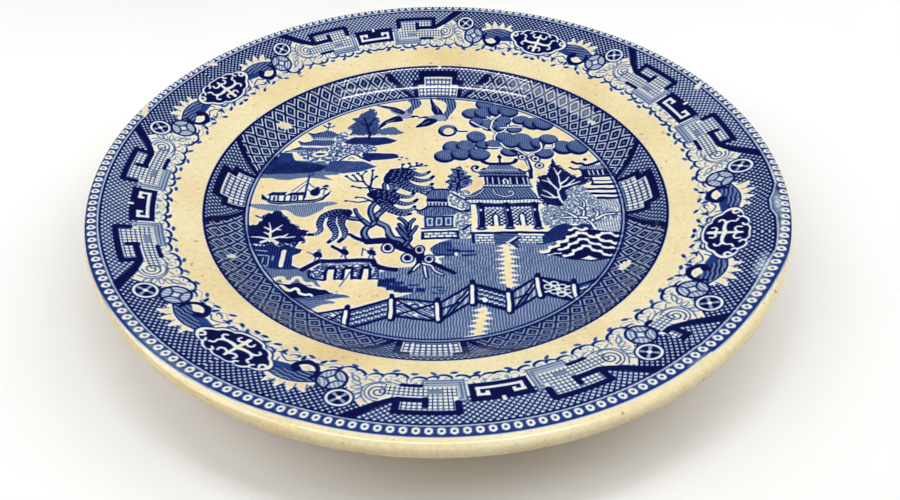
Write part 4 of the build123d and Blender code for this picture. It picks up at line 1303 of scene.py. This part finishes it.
def make_object(name, points, faces, smooth_count, values):
    """A mesh object from points in mm and face arrays: the first faces are smooth, values lie on points."""
    mesh = bpy.data.meshes.new(name)
    corners = np.concatenate([np.asarray(block).ravel() for block in faces])
    sizes = np.concatenate([np.full(len(block), len(block[0])) for block in faces])
    mesh.vertices.add(len(points))
    mesh.vertices.foreach_set("co", (np.asarray(points) * MM).ravel())
    mesh.loops.add(len(corners))
    mesh.loops.foreach_set("vertex_index", corners.astype(np.int32))
    mesh.polygons.add(len(sizes))
    mesh.polygons.foreach_set("loop_start", np.concatenate([[0], np.cumsum(sizes)[:-1]]).astype(np.int32))
    mesh.polygons.foreach_set("use_smooth", np.arange(len(sizes)) < smooth_count)
    for title, value in values.items():
        layer = mesh.attributes.new(title, "FLOAT", "POINT")
        layer.data.foreach_set("value", value.astype(np.float32))
    mesh.update()
    mesh.validate()
    piece = bpy.data.objects.new(name, mesh)
    bpy.context.collection.objects.link(piece)
    return piece


def ring_points(radius_height, around):
    """Points of a lathed surface: one ring for each (radius, height)."""
    angles = np.linspace(0, 2 * math.pi, around, endpoint=False)
    radius = radius_height[:, 0][:, None]
    height = np.repeat(radius_height[:, 1][:, None], around, axis=1)
    return np.stack([radius * np.cos(angles), radius * np.sin(angles), height], axis=-1).reshape(-1, 3)


def ring_faces(rings, around):
    """Quads between neighbouring rings, closed from the last ring back to the first."""
    ring = np.arange(rings)[:, None]
    step = np.arange(around)[None, :]
    here, beside = ring * around + step, ring * around + (step + 1) % around
    following = (ring + 1) % rings
    above, above_beside = following * around + step, following * around + (step + 1) % around
    return np.stack([here, beside, above_beside, above], axis=-1).reshape(-1, 4)


def lathed_coat(name, start, stop, around, step, draw=None, aged=False):
    """A closed thin ring of glaze between two distances along the outline: draw prints it, aged stains it.

    The first and last rows are very narrow, so that neighbouring coats shade alike where they meet.
    """
    inner = np.linspace(start, stop, max(int(round((stop - start) / step)), 2) + 1)[1:-1]
    rows = np.concatenate([[start, start + NARROW_ROW], inner, [stop - NARROW_ROW, stop]])
    face = along(rows)
    under = along(np.linspace(stop, start, max(len(rows) // 6, 12)), COAT)
    points = ring_points(np.vstack([face, under]), around)
    count = len(rows) * around
    values = {}
    if draw:
        angle = np.degrees(np.tile(np.linspace(0, 2 * math.pi, around, endpoint=False), len(rows)))
        radius = np.where(rows < travel_at(LIP_START), face[:, 0],
                          LIP_START + (rows - travel_at(LIP_START)) * math.cos(FLANGE_SLOPE))
        ink, flow = np.zeros(len(points)), np.zeros(len(points))
        ink[:count] = draw(angle, np.repeat(radius, around), step)
        fade = np.clip(np.minimum(rows - start, stop - rows) / FLOW_FADE - 0.2, 0.0, 1.0)
        flow[:count] = spread(ink[:count], around) * np.repeat(fade, around)
        values = {"ink": ink, "flow": flow}
    elif aged:
        values = {"age": np.zeros(len(points))}
        values["age"][:count] = np.repeat(np.interp(rows - start, [0.3, 3.0], [0, 1]), around)
    return make_object(name, points, [ring_faces(len(face) + len(under), around)[:, ::-1]],
                       (len(rows) - 1) * around, values)


def printed_disc(name, radius, cells, draw):
    """The well's floor: a square net drawn out to a disc, closed below by one flat face."""
    ticks = np.linspace(-1, 1, cells + 1)
    u, v = np.meshgrid(ticks, ticks)
    x = radius * (u * np.sqrt(1 - v * v / 2)).ravel()
    y = radius * (v * np.sqrt(1 - u * u / 2)).ravel()
    distance = np.interp(np.hypot(x, y), OUTLINE[: OUTERMOST + 1, 0], TRAVEL[: OUTERMOST + 1])
    height = along(distance)[:, 1]
    side = cells + 1
    first = np.arange(cells)[:, None] * side + np.arange(cells)[None, :]
    net = np.stack([first, first + 1, first + side + 1, first + side], axis=-1).reshape(-1, 4)
    lower = np.arange(cells)
    edge = np.concatenate([lower, lower * side + cells, (side * side - 1) - lower, (cells - lower) * side])
    under = np.arange(len(edge)) + side * side
    floor = OUTLINE[0, 1] - COAT
    points = np.vstack([
        np.column_stack([x, y, height]),
        np.column_stack([x[edge], y[edge], np.full(len(edge), floor)]),
    ])
    wall = np.stack([edge, under, np.roll(under, -1), np.roll(edge, -1)], axis=-1)
    ink, flow = np.zeros(len(points)), np.zeros(len(points))
    ink[: side * side] = draw(x, y, 2 * radius / cells)
    flow[: side * side] = spread(ink[: side * side], side)
    return make_object(name, points, [net, wall, under[::-1][None, :]], len(net),
                       {"ink": ink, "flow": flow})


# ---------------------------------------------------------------- materials
def new_material(name):
    """A material with its nodes, links and main shader."""
    material = bpy.data.materials.new(name)
    material.use_nodes = True
    nodes, links = material.node_tree.nodes, material.node_tree.links
    return material, nodes, links, nodes["Principled BSDF"]


def noise(nodes, links, scale, detail=3.0, roughness=0.55):
    """A noise texture in the plate's own space."""
    place = nodes.new("ShaderNodeTexCoord")
    texture = nodes.new("ShaderNodeTexNoise")
    texture.inputs["Scale"].default_value = scale
    texture.inputs["Detail"].default_value = detail
    texture.inputs["Roughness"].default_value = roughness
    links.new(place.outputs["Object"], texture.inputs["Vector"])
    return texture.outputs["Fac"]


def ramp(nodes, links, source, stops):
    """A colour ramp fed by a value."""
    node = nodes.new("ShaderNodeValToRGB")
    elements = node.color_ramp.elements
    while len(elements) < len(stops):
        elements.new(0.5)
    for element, (place, colour) in zip(elements, stops):
        element.position = place
        element.color = (*colour, 1.0)
    links.new(source, node.inputs["Fac"])
    return node.outputs["Color"]


def blend_colours(nodes, links, kind, amount, first, second):
    """Mix two colours; amount is a number or an output."""
    mix = nodes.new("ShaderNodeMix")
    mix.data_type = "RGBA"
    mix.blend_type = kind
    if isinstance(amount, float):
        mix.inputs["Factor"].default_value = amount
    else:
        links.new(amount, mix.inputs["Factor"])
    for socket, value in ((mix.inputs["A"], first), (mix.inputs["B"], second)):
        if isinstance(value, tuple):
            socket.default_value = (*value, 1.0)
        else:
            links.new(value, socket)
    return mix.outputs["Result"]


def scaled(nodes, links, source, low, high):
    """A value from 0 to 1 spread over another range."""
    node = nodes.new("ShaderNodeMapRange")
    node.inputs["To Min"].default_value = low
    node.inputs["To Max"].default_value = high
    links.new(source, node.inputs["Value"])
    return node.outputs["Result"]


IVORY = (0.800, 0.680, 0.400)
STAINED = (0.720, 0.550, 0.280)
BLEACHED = (0.850, 0.760, 0.500)
COOL_WHITE = (0.780, 0.800, 0.820)


def ivory_colour(nodes, links):
    """Aged ivory: slow stains, fine mottling and small brown specks."""
    slow = ramp(nodes, links, noise(nodes, links, 22.0, 2.0),
                [(0.30, STAINED), (0.52, IVORY), (0.75, BLEACHED)])
    fine = ramp(nodes, links, noise(nodes, links, 620.0, 4.0, 0.7),
                [(0.30, (0.80, 0.80, 0.80)), (0.62, (1.0, 1.0, 1.0))])
    mottled = blend_colours(nodes, links, "MULTIPLY", 0.75, slow, fine)
    specks = ramp(nodes, links, noise(nodes, links, 420.0, 2.0, 0.4),
                  [(0.24, (0.45, 0.33, 0.20)), (0.29, (1.0, 1.0, 1.0))])
    return blend_colours(nodes, links, "MULTIPLY", 0.8, mottled, specks)


def finish_glaze(nodes, links, shader, roughness=(0.05, 0.16), bump=0.06):
    """A glossy coat with faint waves and pits."""
    links.new(scaled(nodes, links, noise(nodes, links, 90.0, 4.0), *roughness), shader.inputs["Roughness"])
    shader.inputs["IOR"].default_value = 1.52
    shader.inputs["Specular IOR Level"].default_value = 0.5
    waves = nodes.new("ShaderNodeBump")
    waves.inputs["Strength"].default_value = bump
    waves.inputs["Distance"].default_value = 0.0004
    links.new(noise(nodes, links, 240.0, 3.0, 0.6), waves.inputs["Height"])
    links.new(waves.outputs["Normal"], shader.inputs["Normal"])


def attribute(nodes, title):
    """A value that the mesh holds at each of its points."""
    node = nodes.new("ShaderNodeAttribute")
    node.attribute_name = title
    return node.outputs["Fac"]


def printed_glaze():
    """Cobalt under glaze: the ink on the mesh picks the blue, uneven as a hand-laid print."""
    material, nodes, links, shader = new_material("printed_glaze")
    patchy = scaled(nodes, links, noise(nodes, links, 130.0, 5.0, 0.65), 0.84, 1.16)
    strength = nodes.new("ShaderNodeMath")
    strength.operation = "MULTIPLY"
    strength.use_clamp = True
    links.new(attribute(nodes, "ink"), strength.inputs[0])
    links.new(patchy, strength.inputs[1])
    blush = ramp(nodes, links, attribute(nodes, "flow"),
                 [(0.10, (0.0, 0.0, 0.0)), (0.46, (0.72, 0.72, 0.72))])
    ground = blend_colours(nodes, links, "MIX", blush, ivory_colour(nodes, links), COOL_WHITE)
    cobalt = ramp(nodes, links, strength.outputs[0], [
        (0.0, (0.62, 0.68, 0.72)),
        (0.20, (0.34, 0.43, 0.56)),
        (0.36, (0.18, 0.24, 0.36)),
        (0.52, (0.078, 0.122, 0.235)),
        (0.72, (0.012, 0.034, 0.185)),
        (0.90, (0.001, 0.002, 0.048)),
    ])
    cover = ramp(nodes, links, strength.outputs[0], [
        (0.02, (0.0, 0.0, 0.0)), (0.22, (0.85, 0.85, 0.85)), (0.40, (1.0, 1.0, 1.0)),
    ])
    links.new(blend_colours(nodes, links, "MIX", cover, ground, cobalt), shader.inputs["Base Color"])
    finish_glaze(nodes, links, shader)
    return material


def plain_glaze():
    """Ivory glaze with nothing printed on it, browner where it is aged by handling."""
    material, nodes, links, shader = new_material("plain_glaze")
    browned = ramp(nodes, links, noise(nodes, links, 75.0, 5.0, 0.65), [
        (0.32, (0.55, 0.38, 0.18)),
        (0.47, (0.70, 0.53, 0.27)),
        (0.66, (0.77, 0.62, 0.34)),
    ])
    grime = ramp(nodes, links, noise(nodes, links, 950.0, 4.0, 0.7),
                 [(0.36, (0.62, 0.54, 0.42)), (0.58, (1.0, 1.0, 1.0))])
    handled = blend_colours(nodes, links, "MULTIPLY", 0.7, browned, grime)
    aged = blend_colours(nodes, links, "MIX", attribute(nodes, "age"), ivory_colour(nodes, links), handled)
    links.new(aged, shader.inputs["Base Color"])
    finish_glaze(nodes, links, shader)
    return material


def bare_clay():
    """The unglazed edge of the foot: matt, gritty and rubbed grey."""
    material, nodes, links, shader = new_material("bare_clay")
    rubbed = ramp(nodes, links, noise(nodes, links, 160.0, 5.0, 0.7), [
        (0.30, (0.34, 0.27, 0.19)),
        (0.50, (0.58, 0.48, 0.34)),
        (0.72, (0.70, 0.62, 0.48)),
    ])
    links.new(rubbed, shader.inputs["Base Color"])
    links.new(scaled(nodes, links, noise(nodes, links, 700.0), 0.65, 0.95), shader.inputs["Roughness"])
    grit = nodes.new("ShaderNodeBump")
    grit.inputs["Strength"].default_value = 0.5
    grit.inputs["Distance"].default_value = 0.0003
    links.new(noise(nodes, links, 1500.0, 3.0), grit.inputs["Height"])
    links.new(grit.outputs["Normal"], shader.inputs["Normal"])
    return material


def floor_paper():
    """The plain pale floor."""
    material, nodes, links, shader = new_material("floor_paper")
    tone = ramp(nodes, links, noise(nodes, links, 6.0, 2.0),
                [(0.3, (0.78, 0.78, 0.77)), (0.7, (0.82, 0.82, 0.81))])
    links.new(tone, shader.inputs["Base Color"])
    shader.inputs["Roughness"].default_value = 0.85
    return material


# ---------------------------------------------------------------- pieces
printed = printed_glaze()
plain = plain_glaze()


def dress(piece, material, slot, *nodes_replaced):
    """Give a piece its material and its body, and hide the CAD nodes that it stands in for. The slot is not
    used.
    """
    piece.data.materials.append(material)
    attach(piece, "root")
    if nodes_replaced:
        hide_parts(*nodes_replaced)
    return piece


scene_piece = printed_disc("printed_scene", SCENE_EDGE, SCENE_CELLS, draw_scene)
dress(scene_piece, printed, "cobalt_print", "scene_print")
band_piece = lathed_coat("printed_band", travel_at(SCENE_EDGE), travel_at(BAND_EDGE), *BAND_NET, draw_band)
dress(band_piece, printed, "cobalt_print", "shoulder_band_print")
flange_piece = lathed_coat("plain_flange", travel_at(BAND_EDGE), travel_at(BORDER_START), *FLANGE_NET)
dress(flange_piece, plain, "glaze")
border_end = travel_at(LIP_START) + (BORDER_END - LIP_START) / math.cos(FLANGE_SLOPE)
border_piece = lathed_coat("printed_border", travel_at(BORDER_START), border_end, *BORDER_NET, draw_border)
dress(border_piece, printed, "cobalt_print", "rim_border_print")
back_piece = lathed_coat("glazed_lip_and_back", border_end, TRAVEL[-1], *BACK_NET, aged=True)
dress(back_piece, plain, "glaze", "glaze_coat")

for node, material in (("earthenware_body", bare_clay()), ("foot_well_glaze", plain)):
    for material_slot in bpy.data.objects[node].material_slots:
        material_slot.material = material

# ---------------------------------------------------------------- floor, lights and camera
STUDIO_RADIUS = 2.4
STUDIO_SIDES = 96
FILL_LAMPS = 8
FILL_RADIUS = 1.85
FILL_HEIGHT = 1.3


def on_circle(radius, k, count, height=0.0):
    """The k-th of some points evenly round a circle, in metres."""
    turn = math.tau * k / count
    return radius * math.cos(turn), radius * math.sin(turn), height


floor_mesh = bpy.data.meshes.new("floor")
floor_edge = [on_circle(STUDIO_RADIUS, k, STUDIO_SIDES) for k in range(STUDIO_SIDES)]
floor_mesh.from_pydata(floor_edge, [], [tuple(range(STUDIO_SIDES))])
floor = bpy.data.objects.new("floor", floor_mesh)
floor_mesh.materials.append(floor_paper())
bpy.context.collection.objects.link(floor)


def area_light(name, place, aim, size, power, colour=(1.0, 1.0, 1.0)):
    """A soft rectangular lamp pointed at a place."""
    lamp = bpy.data.lights.new(name, "AREA")
    lamp.shape = "RECTANGLE"
    lamp.size, lamp.size_y = size
    lamp.energy = power
    lamp.color = colour
    holder = bpy.data.objects.new(name, lamp)
    holder.location = place
    holder.rotation_euler = (Vector(aim) - Vector(place)).to_track_quat("-Z", "Y").to_euler()
    bpy.context.collection.objects.link(holder)
    return holder


area_light("strip_above", (0.0, 0.10, 0.75), (0.0, 0.0, 0.0), (0.52, 0.03), 1.8)
for side in (-0.26, 0.26):
    area_light("strip_end", (side, -0.06, 0.75), (side * 0.5, 0.0, 0.0), (0.03, 0.32), 0.35)
area_light("soft_left", (-0.7, -0.1, 0.65), (0.0, 0.0, 0.0), (0.7, 0.7), 5.6)
soft_right = area_light("soft_right", (0.7, 0.1, 0.65), (0.0, 0.0, 0.0), (0.7, 0.7), 5.6)
area_light("soft_front", (0.0, -0.8, 0.7), (0.0, 0.0, 0.0), (0.8, 0.5), 0.9)
soft_right.visible_glossy = False
for k in range(FILL_LAMPS):
    lamp_place = on_circle(FILL_RADIUS, k, FILL_LAMPS, FILL_HEIGHT)
    fill = area_light("floor_fill", lamp_place, on_circle(FILL_RADIUS, k, FILL_LAMPS), (1.2, 1.2), 6.5)
    fill.data.spread = math.radians(100)
    fill.visible_glossy = False
    fill.visible_camera = False

# Dim all round, so that the glaze stays deep, and pale where it is seen behind the floor
world = bpy.data.worlds.new("studio")
world.use_nodes = True
world_nodes, world_links = world.node_tree.nodes, world.node_tree.links
dim = world_nodes["Background"]
dim.inputs["Color"].default_value = (0.94, 0.96, 1.0, 1.0)
dim.inputs["Strength"].default_value = 0.07
pale = world_nodes.new("ShaderNodeBackground")
pale.inputs["Color"].default_value = (0.80, 0.81, 0.82, 1.0)
mix = world_nodes.new("ShaderNodeMixShader")
world_links.new(world_nodes.new("ShaderNodeLightPath").outputs["Is Camera Ray"], mix.inputs["Fac"])
world_links.new(dim.outputs["Background"], mix.inputs[1])
world_links.new(pale.outputs["Background"], mix.inputs[2])
world_links.new(mix.outputs["Shader"], world_nodes["World Output"].inputs["Surface"])
bpy.context.scene.world = world
bpy.context.scene.view_settings.view_transform = "Standard"

# The camera stands low in front of the plate and close to it
CAMERA_DISTANCE = 269.9
CAMERA_ELEVATION = math.radians(35.54)
CAMERA_TARGET = Vector((-5.4, -54.6, PLATE_HEIGHT))
CAMERA_ROLL = math.radians(-1.64)
place = Vector((0.0, -CAMERA_DISTANCE * math.cos(CAMERA_ELEVATION),
                PLATE_HEIGHT + CAMERA_DISTANCE * math.sin(CAMERA_ELEVATION)))
ahead = (CAMERA_TARGET - place).normalized()
right = ahead.cross(Vector((0, 0, 1))).normalized()
above = right.cross(ahead)
tilted_right = right * math.cos(CAMERA_ROLL) + above * math.sin(CAMERA_ROLL)
tilted_up = above * math.cos(CAMERA_ROLL) - right * math.sin(CAMERA_ROLL)
camera_data = bpy.data.cameras.new("camera")
camera_data.sensor_width = 36.0
camera_data.lens = 28.2
camera_data.shift_x = 0.0363
camera_data.shift_y = 0.0009
camera_data.clip_start = 0.01
camera = bpy.data.objects.new("camera", camera_data)
turned = Matrix((tilted_right, tilted_up, -ahead)).transposed().to_4x4()
camera.matrix_world = Matrix.Translation(place * MM) @ turned
bpy.context.collection.objects.link(camera)
bpy.context.scene.camera = camera
